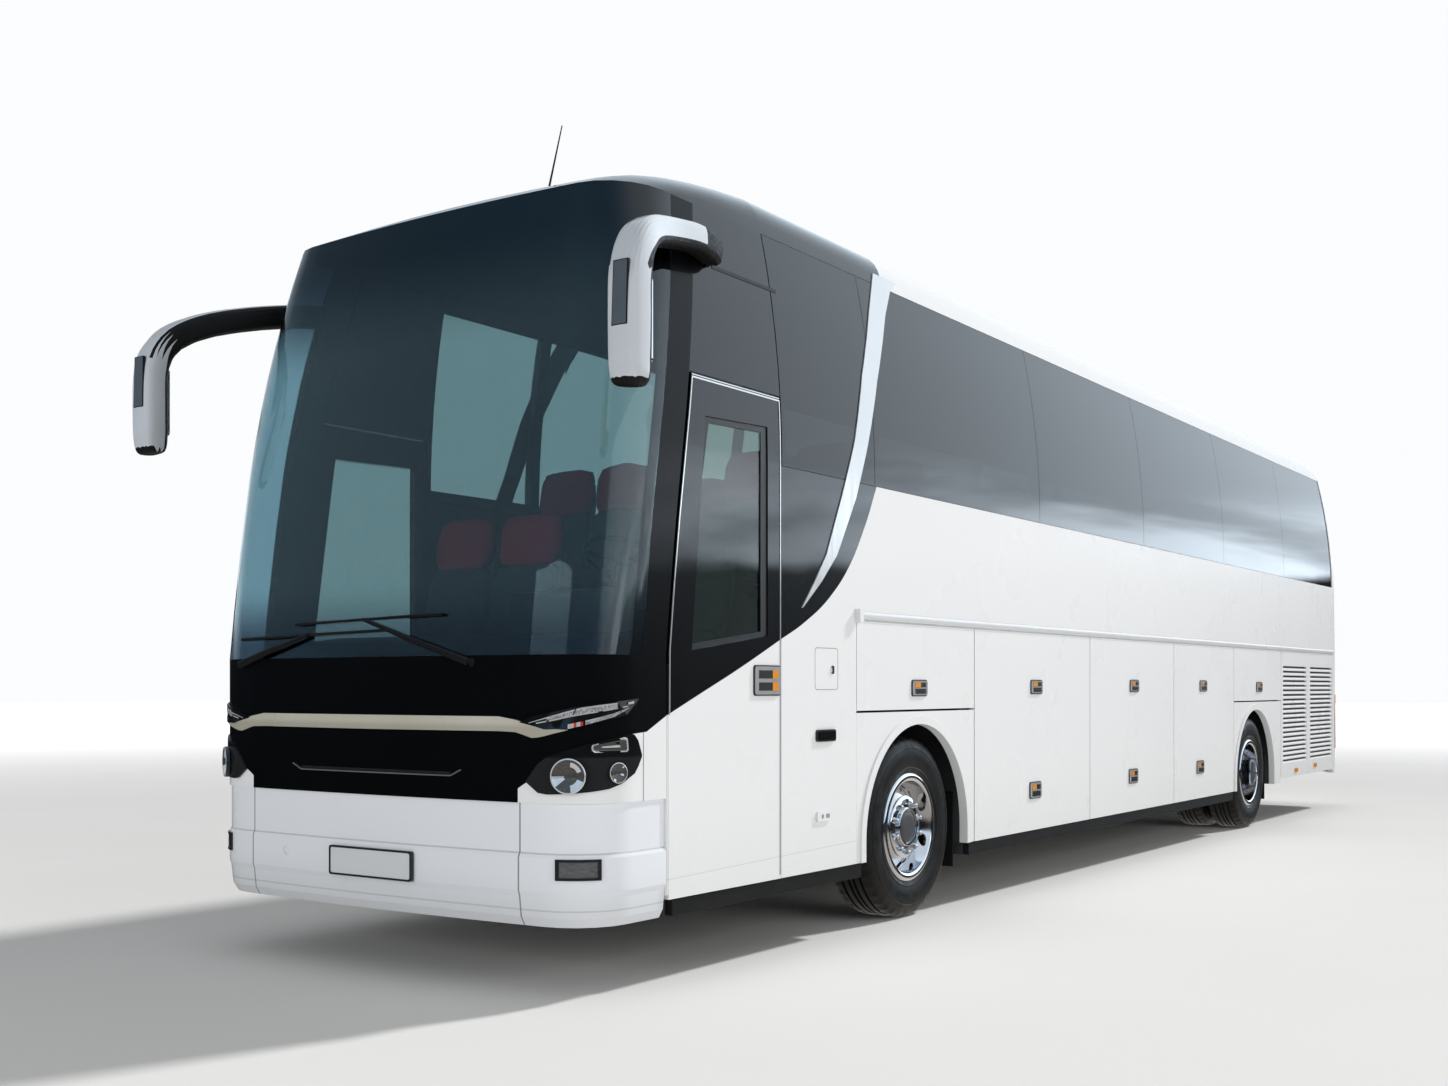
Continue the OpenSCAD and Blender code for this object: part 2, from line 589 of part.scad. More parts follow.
// Gold bar across the mask; its ends run out to points below the daylight strips
bar_band = [[0, 1141, 1207], [0.785, 1143, 1207], [0.88, 1140, 1193], [0.97, 1116, 1170],
    [1.06, 1124, 1156], [1.3, 1151, 1153]];
bar_proud = 12;
module gold_bar() color("#c8b183") at_nose() band(concat(far_side(bar_band), bar_band), bar_proud);

// Headlamps, daylight strips, fog lamps and tail lamps
headlamp_band = [[0.935, 926, 930], [1, 881, 1005], [1.1, 875, 1038], [1.3, 879, 1066], [1.5, 886, 1092],
    [1.7, 898, 1108], [1.85, 922, 1120], [1.98, 955, 1130], [2.1, 989, 1102], [2.21, 1031, 1040]];
daylight_band = [[0.93, 1187, 1190], [1.055, 1163, 1202], [1.3, 1160, 1233], [1.6, 1184, 1256],
    [1.915, 1236, 1275], [2.13, 1281, 1285]];
fog_z = [516, 590];
tail_lamp_z = [650, 1250];
lamp_proud = 10;
module lamps() color("#c9ced2") at_nose() for (s = [1, -1]) {
    for (b = [headlamp_band, daylight_band]) band(s > 0 ? b : far_side(b), lamp_proud);
    nose_skin(s > 0 ? 1.2 : -1.6, s > 0 ? 1.6 : -1.2, [[fog_z[0], -6], [fog_z[1], -6]], 0);
    tail_skin(s > 0 ? 1 : -1.8, s > 0 ? 1.8 : -1, [[tail_lamp_z[0], -8], [tail_lamp_z[1], -8]], 0);
}

plate_w = 540;
plate_h = 130;
plate_z = 450;
module number_plate() color("white") at_nose()
    block([-plate_w / 2, -16, plate_z + 5], [plate_w / 2, -0.3, plate_z + 5 + plate_h]);

// Wipers: columns of the pivot and of the blade's two ends, and the blade's height above the glass's edge
wiper_sweep = [[0.62, -0.55, 0.44, 175], [-0.98, -0.98, 0.1, 110]];
module wipers() color("#141414") at_nose()
    for (w = wiper_sweep) {
        mid = (w[1] + w[2]) / 2;
        pivot = nose_pt(w[0], screen_z - 30, -16);
        elbow = nose_pt(mid, screen_z + w[3], -22);
        tube([nose_pt(w[0], screen_z - 30, -3 * seat_clear), pivot, (pivot + elbow) / 2 + [0, -14, 0], elbow],
            [[22, 22], [20, 15], [14, 9], [9, 7]], 8);
        tube([for (i = [0 : 6]) nose_pt(w[1] + (w[2] - w[1]) * i / 6, screen_z + w[3] + 4 * (i - 3), -11)],
            [for (i = [0 : 6]) [7, 9]], 6);
    }

// Mirror: the arm's foot lies flat on the side's facet between two rows, the head hangs upright
seat_clear = 0.3;
foot_low = side_pt(arc_rows[5], 0);
foot_high = side_pt(arc_rows[6], 0);
foot_n = [foot_high.y - foot_low.y, foot_low.x - foot_high.x] / norm(foot_high - foot_low);
foot_mid = (foot_low + foot_high) / 2 + seat_clear * foot_n;
foot_st = 1010;
head_half = 75;
head_st = head_half - mirror_reach;
// Rings down the arm: [distance in from the head, station, drop below the eave, half across, half along]
arm_rings = [[273, 770, 230, 58, 62], [215, 470, 290, 62, 64], [115, 190, 365, 70, 66],
    [32, 10, 460, 77, 70], [0, head_st, 600, 81, 74], [0, head_st, 780, 82, head_half],
    [0, head_st, 975, 81, 74], [1, head_st + 3, 1052, 75, 67], [4, head_st + 6, 1082, 55, 47]];
module mirrors() color("white") at_nose() both()
    tube(concat([for (h = [0, 40]) [foot_mid.x + h * foot_n.x, foot_st, foot_mid.y + h * foot_n.y]],
            [for (m = arm_rings) [mirror_x - m[0], m[1], eave_z - m[2]]]),
        concat([[62, 70], [62, 70]], [for (m = arm_rings) [m[3], m[4]]]), 20, 0.6);

// Aerial: its foot lies on one facet of the front cap, beside the middle
module aerial() color("#222222") at_nose() {
    a = cap_pt(NOSE, nose_lean, 0, 1, 4 / cap_steps, front_cap_len, front_flat, 0);
    b = cap_pt(NOSE, nose_lean, 0, 1, 5 / cap_steps, front_cap_len, front_flat, 0);
    c = cap_pt(NOSE, nose_lean, 1, 1, 4 / cap_steps, front_cap_len, front_flat, 0);
    n = cross(c - a, b - a) / norm(cross(c - a, b - a));
    foot = (a + b + c) / 3 + seat_clear * n;
    tube([foot, foot + 30 * n, foot + [0, 30, 90], foot + [0, aerial_len * 0.3, aerial_len]],
        [[28, 34], [22, 26], [6, 6], [3, 3]], 8);
}

/* Root: sides */
module waist_panels() color("white") at_nose() {
    along_x(inner_x, hw) polygon(waist_outline());
    mirror([1, 0, 0]) along_x(inner_x, hw) difference() {
        polygon(waist_outline());
        translate([holds[2], 0]) square([plug_end - holds[2], window_z + 1]);
    }
}
function waist_outline() = [[door_end, skirt_z], [arch_start, skirt_z], [arch_start, waist_z],
    [tail_st - seat_clear, waist_z], [tail_st - seat_clear - lean(tail_lean, window_z), window_z],
    [door_end, window_z]];

pane_gap = 2;
pane_from = door_end + 959;
pane_to = tail_st - 57;
pane_shares = [0, 0.2188, 0.4151, 0.6159, 0.8091, 1];
panes = concat([door_end + seam_gap], [for (f = pane_shares) round(pane_from + f * (pane_to - pane_from))]);
post_w = 70;
pane_low = 60;
pane_high = 70;
module window_frames() color("#17181b") at_nose() both()
    difference() {
        union() {
            side_panel(window_z, eave_z, glass_t, shell_t, frame_outline());
            side_panel(door_top + seam_gap, eave_z, 0, shell_t, header_outline());
        }
        for (i = [0 : last_pane])
            along_x(0, hw + panel_t) polygon(pane_outline(i, post_w / 2, pane_low, pane_high));
    }
// Outline of pane i, set in at its sides, foot and top; the last one follows the tail's lean
last_pane = len(panes) - 2;
function pane_outline(i, side, low, high) =
    let (a = panes[i] + side, b = panes[i + 1] - side, z1 = window_z + low, z2 = eave_z - high,
        k = i == last_pane ? 1 : 0)
    [[a, z1], [b - k * lean(tail_lean, z1), z1], [b - k * lean(tail_lean, z2), z2], [a, z2]];
function frame_outline() =
    concat([[door_end, window_z], [door_end, eave_z]], reversed(tail_line(window_z, eave_z)));
function header_outline() = concat(nose_line(door_top + seam_gap, eave_z, seat_clear),
    [[door_end, eave_z], [door_end, door_top + seam_gap]]);

module window_glass() color("#3c4650") at_nose() {
    both() for (i = [0 : last_pane])
        side_panel(window_z, eave_z, 0, glass_t, pane_outline(i, pane_gap, pane_gap, pane_gap));
    tail_skin(seat_clear / tail_corner_r - t_back, t_back - seat_clear / tail_corner_r,
        flush(rows_between(window_z + seat_clear, tail_glass_top - seat_clear)), glass_t);
    mirror([1, 0, 0]) {
        side_panel(skirt_z, door_top, door_glass_d, door_glass_d + glass_t, plug_glass);
        along_x(hw - door_glass_d - glass_t, hw - door_glass_d) mid_door_window();
    }
}
door_glass_d = 12;
mid_glass_side = 120;
mid_glass_z = 1500;
mid_glass_drop = 240;
module mid_door_window()
    translate([holds[2] + mid_glass_side, mid_glass_z])
        square([plug_end - holds[2] - 2 * mid_glass_side, window_z - mid_glass_drop - mid_glass_z]);
tail_glass_top = arc_rows[6];
t_back = 1.4;

module arch_panels() color("white") at_nose() {
    both() along_x(inner_x, hw) {
        arch_panel(arch_start, holds[0] - seam_gap, front_axle_st);
        arch_panel(holds[3] + seam_gap, arch_end - seam_gap, rear_axle_st);
    }
    both() along_x(hw, hw + lip_proud)
        for (st = [front_axle_st, rear_axle_st]) intersection() {
            difference() {
                arch_hole(st, arch_r + lip_w);
                arch_hole(st, arch_r);
            }
            translate([st - 2 * arch_r, skirt_z]) square([4 * arch_r, 2 * arch_r]);
        }
    // Fixed panel behind the middle plug door
    mirror([1, 0, 0]) along_x(inner_x, hinge_x - groove_r)
        translate([plug_end + seat_clear, skirt_z])
            square([holds[3] - plug_end - seat_clear, rail_z - skirt_z]);
}
module arch_panel(a, b, st) {
    difference() {
        translate([a, skirt_z]) square([b - a, flap_z - seam_gap - skirt_z]);
        arch_hole(st, arch_r);
    }
}
lip_w = 52;
lip_proud = 11;
module arch_hole(st, r) {
    translate([st, arch_z]) circle(r = r, $fn = 64);
    translate([st - r, skirt_z - 1]) square([2 * r, arch_z - skirt_z + 1]);
}

module belt_rails() color("#d8dadc") at_nose() {
    along_y(arch_start, tail_st, rail_section());
    mirror([1, 0, 0]) {
        along_y(arch_start, holds[2], rail_section());
        along_y(plug_end, tail_st, rail_section());
    }
}
function rail_section() = concat([[hold_wall, floor_z], [sill_out, floor_z], [sill_out, rail_z]], groove,
    [[hinge_x, lip_z], [hw + rail_proud - 4, lip_z], [hw + rail_proud, lip_z + 8],
        [hw + rail_proud, waist_z - 14], [hw, waist_z], [hold_wall, waist_z]]);

// Silver strip on each side, from its low tip to the roof's edge: rows of [share of the height from the
// belt rail to the eave, front edge, rear edge]
strip_rows = [[0.0254, 1722, 1730], [0.0984, 1848, 1912], [0.1762, 1967, 2073], [0.342, 2126, 2274],
    [0.5026, 2270, 2414], [0.6995, 2399, 2569], [0.9119, 2585, 2770], [1, 2676, 2890]];
strip_proud = 6;
strip_end = [2712, 2985];
module side_strips() color("#dfe2e5") at_nose() both() {
    top = window_z + side_r * sin(edge_from);
    zs = [for (r = strip_rows) rail_z + r[0] * (eave_z - rail_z)];
    n = len(zs) - 1;
    side_panel(zs[0], top, -strip_proud, -seat_clear,
        concat([for (i = [0 : n]) [strip_rows[i][1], zs[i]]], [[strip_end[0], top], [strip_end[1], top]],
            [for (i = [n : -1 : 0]) [strip_rows[i][2], zs[i]]]));
}

// Two escape hatches on the roof, at shares of its length
hatch_shares = [0.25, 0.72];
hatch_size = [760, 620];
hatch_h = 45;
module roof_hatches() color("#e8e9ea") at_nose() for (f = hatch_shares) difference() {
    st = front_cap_len + f * (body_len - rear_cap_len - front_cap_len);
    block([-hatch_size.x / 2, st, body_h - 60], [hatch_size.x / 2, st + hatch_size.y, body_h + hatch_h]);
    along_y(st - 1, st + hatch_size.y + 1, roof_arch(-seat_clear));
}

// Mudflaps: thickness, lower edge and how far they lie inside the housings
mudflap_t = 12;
mudflap_z = 230;
mudflap_h = 460;
mudflap_x = [house_in + 150, inner_x - 40];
module rubber_skirts() color("#141414") at_nose() {
    both() {
        block([sill_out, nose_seam + 60, rubber_z], [hw - 10, door_end, skirt_z - 8]);
        block([sill_out, door_end, rubber_z], [hw - 10, front_axle_st - arch_r - 20, skirt_z]);
        block([sill_out, front_axle_st + arch_r + 58, rubber_z], [hw - 10, holds[3] + 4, skirt_z - 8]);
        // Mudflaps on the rear walls of the wheel housings
        for (st = [front_axle_st, rear_axle_st])
            block([mudflap_x[0], st + house_len - house_t - mudflap_t, mudflap_z],
                [mudflap_x[1], st + house_len - house_t, mudflap_z + mudflap_h]);
    }
}

plug_glass = [[700, 1500], [1460, 1586], [1460, door_top - 164], [860, door_top - 180]];
module plug_doors() color("#e8e9ea") at_nose() mirror([1, 0, 0]) {
    difference() {
        side_panel(skirt_z, door_top, 0, panel_t, concat(nose_line(skirt_z, door_top, seat_clear),
            [[door_end - seat_clear, door_top], [door_end - seat_clear, skirt_z]]));
        along_x(hw - 300, hw + 10) polygon(plug_glass);
    }
    along_x(inner_x, hw) difference() {
        translate([holds[2] + seat_clear, skirt_z])
            square([plug_end - holds[2] - 2 * seat_clear, window_z - skirt_z - seat_clear]);
        mid_door_window();
    }
}

tail_t = 1;
lid_low = 560;
module rear_wall() color("white") at_nose() {
    for (s = [1, -1]) {
        tail_skin(s > 0 ? tail_t : -3, s > 0 ? 3 : -tail_t, flush([skirt_z, waist_z]), shell_t);
        tail_skin(s > 0 ? t_back : -3, s > 0 ? 3 : -t_back, flush(rows_between(window_z, eave_z)), shell_t);
    }
    tail_skin(-tail_t, tail_t, flush([skirt_z, lid_low - seam_gap]), shell_t);
    tail_skin(-3, 3, flush([waist_z, window_z]), shell_t);
    tail_skin(-t_back, t_back, flush([tail_glass_top, eave_z]), shell_t);
    tail_rail();
}
// Straight rail across the tail that carries the engine lid
tail_rail_w = 880;
module tail_rail() {
    section = [for (p = concat([[inner_x - 5, rail_z]], groove, [[hinge_x, lip_z], [hw, lip_z],
        [hw, waist_z], [inner_x - 5, waist_z]])) [p.x - hw + body_len, p.y]];
    along_x(-tail_rail_w, tail_rail_w) polygon(section);
}

/* Root: inside */
// Seat from its side, [station from the foot of the back, height above the floor]; deep is the length
// of the cushion
seat_low = 400;
seat_high = 480;
back_high = 1160;
back_t = 110;
back_lean = 130;
seat_w = 460;
seat_gap = 8;
seat_deep = 430;
aisle_seat_x = 480;
first_row = 2350;
driver_seat_st = 1580;
driver_seat_w = 500;
guide_seat_st = 1400;
guide_seat_x = [-400, -900];
guide_seat_deep = 90;
seat_rows = 1 + floor((tail_st - seat_end - first_row) / seat_pitch);
module seat(x, st, z, w, deep) {
    along_x(x - w / 2, x + w / 2) translate([st, z]) polygon([[-deep, seat_low], [-deep, seat_high],
        [0, seat_high - 30], [back_lean, back_high - 30], [back_lean + back_t / 2, back_high],
        [back_lean + back_t, back_high - 30], [back_t, seat_low]]);
    block([x - 40, st - deep * 0.7, z], [x + 40, st, z + seat_low + 1]);
}
module seats() color("#8e1f2a") at_nose() {
    both() for (i = [0 : seat_rows - 1], x = [aisle_seat_x, aisle_seat_x + seat_w + seat_gap])
        seat(x, first_row + i * seat_pitch, floor_z, seat_w, seat_deep);
    // Driver's seat and the pair of tip-up guide's seats on the platform
    seat(driver_x, driver_seat_st, platform_z, driver_seat_w, seat_deep);
    for (x = guide_seat_x) seat(x, guide_seat_st, platform_z, seat_w, guide_seat_deep);
}

driver_x = 620;
column_top = [driver_x, 1120, 1960];
column_lean = 30;
column_len = 450;
// Sections of the dashboard and of its binnacle, [station, height above the platform]
dash_gap = 150;
dash_w = 2 * (inner_x - dash_gap);
dash_section = [[330, 150], [330, 350], [420, 410], [760, 450], [940, 410], [940, 330], [560, 150]];
binnacle_w = 660;
binnacle = [[600, 440], [640, 640], [800, 660], [830, 410]];
module dashboard() color("#1d1f22") at_nose() {
    along_x(-dash_w / 2, dash_w / 2) translate([0, platform_z]) polygon(dash_section);
    block([-dash_w / 8, dash_section[0].x + 50, platform_z], [dash_w / 2, dash_section[0].x + 210,
        platform_z + dash_section[0].y]);
    // Binnacle and column
    along_x(driver_x - binnacle_w / 2, driver_x + binnacle_w / 2)
        translate([0, platform_z]) polygon(binnacle);
    translate(column_top) rotate([-column_lean, 0, 0]) translate([0, 0, -column_len - 40])
        cylinder(r = 45, h = column_len);
}

module steering_wheel() color("#161616") at_nose() translate(column_top) rotate([-column_lean, 0, 0]) {
    rotate_extrude($fn = 48) translate([steering_r - 16, 0]) circle(r = 16, $fn = 24);
    translate([0, 0, -39.7]) cylinder(r = 60, h = 45);
    for (a = [90, 210, 330]) rotate([0, 0, a]) block([40, -18, -12], [steering_r - 16, 18, 4]);
}

/* Moving: doors and lids */
door_gap = 2 * bead_r + 2 + seam_gap;
door_window = [[770, 1504], [1410, 1586], [1410, door_top - 164], [880, door_top - 186]];
module driver_door() color("white") at_nose() {
    difference() {
        side_panel(skirt_z, door_top, 0, panel_t - bead_r, concat(nose_line(skirt_z, door_top, door_gap),
            [[door_end - seam_gap, door_top], [door_end - seam_gap, skirt_z]]));
        along_x(hw - 300, hw + 10) polygon(door_window);
    }
    neck = bead_r * 0.7;
    block([hinge_x - neck, post_st + 1, bead_from + 2],
        [hinge_x + neck, post_st + seam_gap + 1, bead_to - 2]);
    translate([hinge_x, post_st, bead_from + 2]) cylinder(r = bead_r, h = bead_to - bead_from - 4);
}
module driver_door_glass() color("#5b7078") at_nose()
    side_panel(skirt_z, door_top, door_glass_d, door_glass_d + glass_t, door_window);

module luggage_door(s, i) color("white") at_nose() on_side(s) lid(holds[i - 1], holds[i], skirt_z);
module flap_front(s) color("white") at_nose() on_side(s) lid(arch_start, holds[0], flap_z + seam_gap);
module flap_rear(s) color("white") at_nose() on_side(s) lid(holds[3], arch_end, flap_z + seam_gap);

// Louvred lid: two columns of slots with sloping floors
slat_deep = 28;
slat_rows = 21;
slat_z = [570, 1560];
slat_mid = (arch_end + tail_st) / 2;
slat_cols = [[arch_end + 80, slat_mid - 75], [slat_mid + 75, tail_st - 50]];
module side_lid(s) color("white") at_nose() on_side(s) difference() {
    lid(arch_end, tail_st, 420);
    for (c = slat_cols, i = [0 : slat_rows - 1])
        let (pitch = (slat_z[1] - slat_z[0]) / slat_rows, z = slat_z[0] + i * pitch)
        along_y(c[0], c[1], [[hw + 1, z], [hw + 1, z + 0.72 * pitch], [hw - slat_deep, z + 0.72 * pitch]]);
}
// Engine lid, curved with the tail, on a bead in the middle of the tail's rail
lid_bead_w = 250;
module engine_lid() color("white") at_nose() {
    edge = tail_t - seam_gap / plan(TAIL, tail_t, 0).x;
    top = rail_z - 2 * bead_r;
    tail_skin(-edge, edge, [[lid_low, bead_r], [top, bead_r]], panel_t);
    block([-lid_bead_w, body_len - 2 * bead_r - 4, top - 4],
        [lid_bead_w, body_len - bead_r - 2, rail_z - 1]);
    translate([-lid_bead_w, body_len - bead_r, rail_z]) rotate([0, 90, 0])
        cylinder(r = bead_r, h = 2 * lid_bead_w);
}

underframe();
wheel_housings();
floor_deck();
engine();
front_axle();
rear_axle();
roof();
front_cap();
rear_cap();
windscreen();
front_corners();
front_mask();
gold_bar();
lamps();
front_bumper();
number_plate();
wipers();
mirrors();
aerial();
waist_panels();
window_frames();
window_glass();
arch_panels();
belt_rails();
side_strips();
roof_hatches();
rubber_skirts();
plug_doors();
rear_wall();
seats();
dashboard();
knuckle(1);  // knuckle_left
knuckle(-1);  // knuckle_right
tyre_front(1);  // tyre_front_left
tyre_front(-1);  // tyre_front_right
wheel_front(1);  // wheel_front_left
wheel_front(-1);  // wheel_front_right
tyres_rear(1);  // tyres_rear_left
tyres_rear(-1);  // tyres_rear_right
wheel_rear(1);  // wheel_rear_left
wheel_rear(-1);  // wheel_rear_right
steering_wheel();
driver_door();
driver_door_glass();
luggage_door(1, 1);  // luggage_door_left_1
luggage_door(1, 2);  // luggage_door_left_2
luggage_door(1, 3);  // luggage_door_left_3
luggage_door(-1, 1);  // luggage_door_right_1
luggage_door(-1, 2);  // luggage_door_right_2
flap_front(1);  // flap_front_left
flap_front(-1);  // flap_front_right
flap_rear(1);  // flap_rear_left
flap_rear(-1);  // flap_rear_right
side_lid(1);  // side_lid_left
side_lid(-1);  // side_lid_right
engine_lid();
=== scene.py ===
import json
from functools import partial
from math import atan2, cos, degrees, pi, radians, sin

import bmesh
import bpy
from mathutils import Matrix, Vector


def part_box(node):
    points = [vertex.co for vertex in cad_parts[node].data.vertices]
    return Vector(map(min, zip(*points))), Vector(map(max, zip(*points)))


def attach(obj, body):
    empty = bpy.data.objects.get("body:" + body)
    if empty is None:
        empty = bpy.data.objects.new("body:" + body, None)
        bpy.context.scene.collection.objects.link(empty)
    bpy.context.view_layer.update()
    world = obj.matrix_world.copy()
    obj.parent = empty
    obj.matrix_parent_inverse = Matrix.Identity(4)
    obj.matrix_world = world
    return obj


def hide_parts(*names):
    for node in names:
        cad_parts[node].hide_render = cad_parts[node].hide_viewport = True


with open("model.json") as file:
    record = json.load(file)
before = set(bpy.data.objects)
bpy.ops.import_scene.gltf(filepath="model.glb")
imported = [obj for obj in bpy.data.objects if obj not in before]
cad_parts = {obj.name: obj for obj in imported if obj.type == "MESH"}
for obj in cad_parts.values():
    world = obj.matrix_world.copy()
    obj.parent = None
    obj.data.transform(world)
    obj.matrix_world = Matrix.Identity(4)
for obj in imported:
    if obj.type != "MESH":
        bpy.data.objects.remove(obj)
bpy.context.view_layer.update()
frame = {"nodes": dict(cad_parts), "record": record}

nodes = frame["nodes"]


# Underframe
# A welded frame of square steel tubes carries the coach, with the luggage hold hung between the axles.
# It is dipped and painted in a satin dark grey, and road dust lies on it in soft patches.
def finish(name, color, roughness, metallic=0.0):
    """A new material with its plain values set; returns it, its node tree and its shader."""
    material = bpy.data.materials.new(name)
    material.use_nodes = True
    tree = material.node_tree
    shader = tree.nodes["Principled BSDF"]
    shader.inputs["Base Color"].default_value = (*color, 1)
    shader.inputs["Roughness"].default_value = roughness
    shader.inputs["Metallic"].default_value = metallic
    return material, tree, shader


def cloud(tree, scale, detail=3.0, stretch=(1, 1, 1)):
    """Soft noise on the piece's own coordinates, as a socket."""
    coords = tree.nodes.new("ShaderNodeTexCoord")
    mapping = tree.nodes.new("ShaderNodeMapping")
    mapping.inputs["Scale"].default_value = stretch
    noise = tree.nodes.new("ShaderNodeTexNoise")
    noise.inputs["Scale"].default_value = scale
    noise.inputs["Detail"].default_value = detail
    tree.links.new(coords.outputs["Object"], mapping.inputs["Vector"])
    tree.links.new(mapping.outputs["Vector"], noise.inputs["Vector"])
    return noise.outputs["Fac"]


def between(tree, socket, low, high, to_low, to_high):
    """A socket's range low to high carried over to another range, with soft ends."""
    ranged = tree.nodes.new("ShaderNodeMapRange")
    ranged.interpolation_type = "SMOOTHSTEP"
    for name, value in (("From Min", low), ("From Max", high), ("To Min", to_low), ("To Max", to_high)):
        ranged.inputs[name].default_value = value
    tree.links.new(socket, ranged.inputs["Value"])
    return ranged.outputs["Result"]


def blended(tree, share, first, second):
    """Two colours, each a colour or a socket, mixed by a socket."""
    mix = tree.nodes.new("ShaderNodeMix")
    mix.data_type = "RGBA"
    tree.links.new(share, mix.inputs["Factor"])
    for place, value in (("A", first), ("B", second)):
        socket = [s for s in mix.inputs if s.name == place and s.type == "RGBA"][0]
        if isinstance(value, bpy.types.NodeSocket):
            tree.links.new(value, socket)
        else:
            socket.default_value = (*value, 1)
    return [s for s in mix.outputs if s.type == "RGBA"][0]


def painted(tree, shader, share, first, second):
    """Gives a shader two colours, mixed by a socket."""
    tree.links.new(blended(tree, share, first, second), shader.inputs["Base Color"])


def uneven(tree, shader, drift, low, high):
    """Gives a shader a roughness that goes from low to high with a noise socket."""
    tree.links.new(between(tree, drift, 0.3, 0.7, low, high), shader.inputs["Roughness"])


def raised(tree, shader, height, distance):
    """Bump from a height socket."""
    bump = tree.nodes.new("ShaderNodeBump")
    bump.inputs["Distance"].default_value = distance
    bump.inputs["Strength"].default_value = 1.0
    tree.links.new(height, bump.inputs["Height"])
    tree.links.new(bump.outputs["Normal"], shader.inputs["Normal"])


def wear(material, node_names):
    """Puts one material on CAD nodes."""
    for name in node_names:
        slots = nodes[name].data.materials
        slots.clear()
        slots.append(material)


frame_paint, tree, shader = finish("satin_frame_paint", (0.05, 0.052, 0.055), 0.5)
dust = between(tree, cloud(tree, 3.0), 0.45, 0.75, 0.0, 0.5)
painted(tree, shader, dust, (0.04, 0.042, 0.045), (0.10, 0.096, 0.088))
uneven(tree, shader, cloud(tree, 40.0), 0.4, 0.65)
raised(tree, shader, cloud(tree, 260.0), 0.0006)
wear(frame_paint, ["underframe", "wheel_housings", "front_axle", "rear_axle",
                   "knuckle_left", "knuckle_right"])


# Saloon floor
# Plywood panels on the frame, under a grey non-slip vinyl with fine dark and light flecks.
# The entrance steps carry the same vinyl.
vinyl, tree, shader = finish("flecked_vinyl", (0.1, 0.1, 0.11), 0.6)
fleck = between(tree, cloud(tree, 420.0, 1.0), 0.6, 0.68, 0.0, 1.0)
painted(tree, shader, fleck, (0.075, 0.077, 0.085), (0.26, 0.26, 0.27))
raised(tree, shader, cloud(tree, 300.0), 0.0004)
wear(vinyl, ["floor_deck"])


# Engine
# One cast block low in the tail, in grey engine enamel over a rough sand-cast skin.
# It is bolted down on the cradle between the rear rails.
enamel, tree, shader = finish("engine_enamel", (0.16, 0.17, 0.18), 0.45)
oil = between(tree, cloud(tree, 6.0), 0.5, 0.7, 0.0, 0.8)
painted(tree, shader, oil, (0.17, 0.18, 0.19), (0.05, 0.047, 0.042))
raised(tree, shader, cloud(tree, 150.0), 0.0015)
wear(enamel, ["engine"])


# Body panels
# Steel and aluminium panels in gloss white, with a black field that sweeps up from the nose to the roof.
# The black stops along one curve on each side; the lacquer over both lies in faint, slow waves.
nose_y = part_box("front_mask")[0].y
seam_back = 0.572
seam_y = nose_y + seam_back
white = (0.80, 0.805, 0.81)
black = (0.003, 0.0032, 0.0038)
# The black's lower edge, as metres behind the nose's foremost point and height
sweep = [(0.0, 0.80), (0.0262, 0.835), (0.0275, 0.852), (0.0305, 0.928), (0.036, 0.99), (0.10, 1.05),
         (0.28, 1.115), (0.335, 1.131), (0.43, 1.138), (seam_back, 1.205), (0.834, 1.303), (1.164, 1.426),
         (1.52, 1.569), (1.758, 1.667), (2.008, 1.807), (2.218, 1.989), (2.348, 2.16), (2.47, 2.363),
         (2.53, 2.50), (2.56, 4.0)]
# The pressed line's climb, foot and end on the lower front panels, drawn as a painted shadow line, and the
# upright seam behind the lamps
press_climb, press_foot, press_end = 0.0201, 0.459, 2.28
lamp_seam = 0.407


def lacquer(name, color, gloss=1.0, wave=0.0006):
    """Gloss paint under clear coat, one colour all over; returns it, its tree and its shader."""
    material, tree, shader = finish(name, color, 0.3)
    shader.inputs["Specular IOR Level"].default_value = 0.06
    shader.inputs["Coat Weight"].default_value = gloss
    shader.inputs["Coat Roughness"].default_value = 0.03
    uneven(tree, shader, cloud(tree, 1.5), 0.26, 0.32)
    raised(tree, shader, cloud(tree, 1.1, 1.0), wave)
    return material, tree, shader


def place(tree):
    """The piece's own coordinates, split in x, y and z sockets."""
    coords = tree.nodes.new("ShaderNodeTexCoord")
    split = tree.nodes.new("ShaderNodeSeparateXYZ")
    tree.links.new(coords.outputs["Object"], split.inputs[0])
    return split.outputs


def reckon(tree, operation, first, second):
    """Two sockets, or a socket and a number, put together by a Math node."""
    math = tree.nodes.new("ShaderNodeMath")
    math.operation = operation
    for socket, value in zip(math.inputs, (first, second)):
        if isinstance(value, bpy.types.NodeSocket):
            tree.links.new(value, socket)
        else:
            socket.default_value = value
    return math.outputs[0]


def dusted(tree, xyz, paint):
    """Paint under a thin film of road dust near the road."""
    film = between(tree, xyz["Z"], 0.3, 0.9, 0.12, 0.0)
    return blended(tree, film, paint, (0.5, 0.48, 0.44))


def seamed(tree, paint, distance, width):
    """Paint with a thin grey seam where a distance socket is near zero."""
    line = between(tree, reckon(tree, "ABSOLUTE", distance, 0.0), width * 0.5, width * 0.8, 1.0, 0.0)
    return blended(tree, line, paint, (0.25, 0.255, 0.265))


def mottled(name, first, second, scale, roughness, metallic=0.0):
    """A material between two colours in soft noise; its roughness is a value, or low, high and scale."""
    material, tree, shader = finish(name, first, 0.5, metallic)
    painted(tree, shader, cloud(tree, scale), first, second)
    if isinstance(roughness, tuple):
        low, high, rough_scale = roughness
        uneven(tree, shader, cloud(tree, rough_scale), low, high)
    else:
        shader.inputs["Roughness"].default_value = roughness
    return material


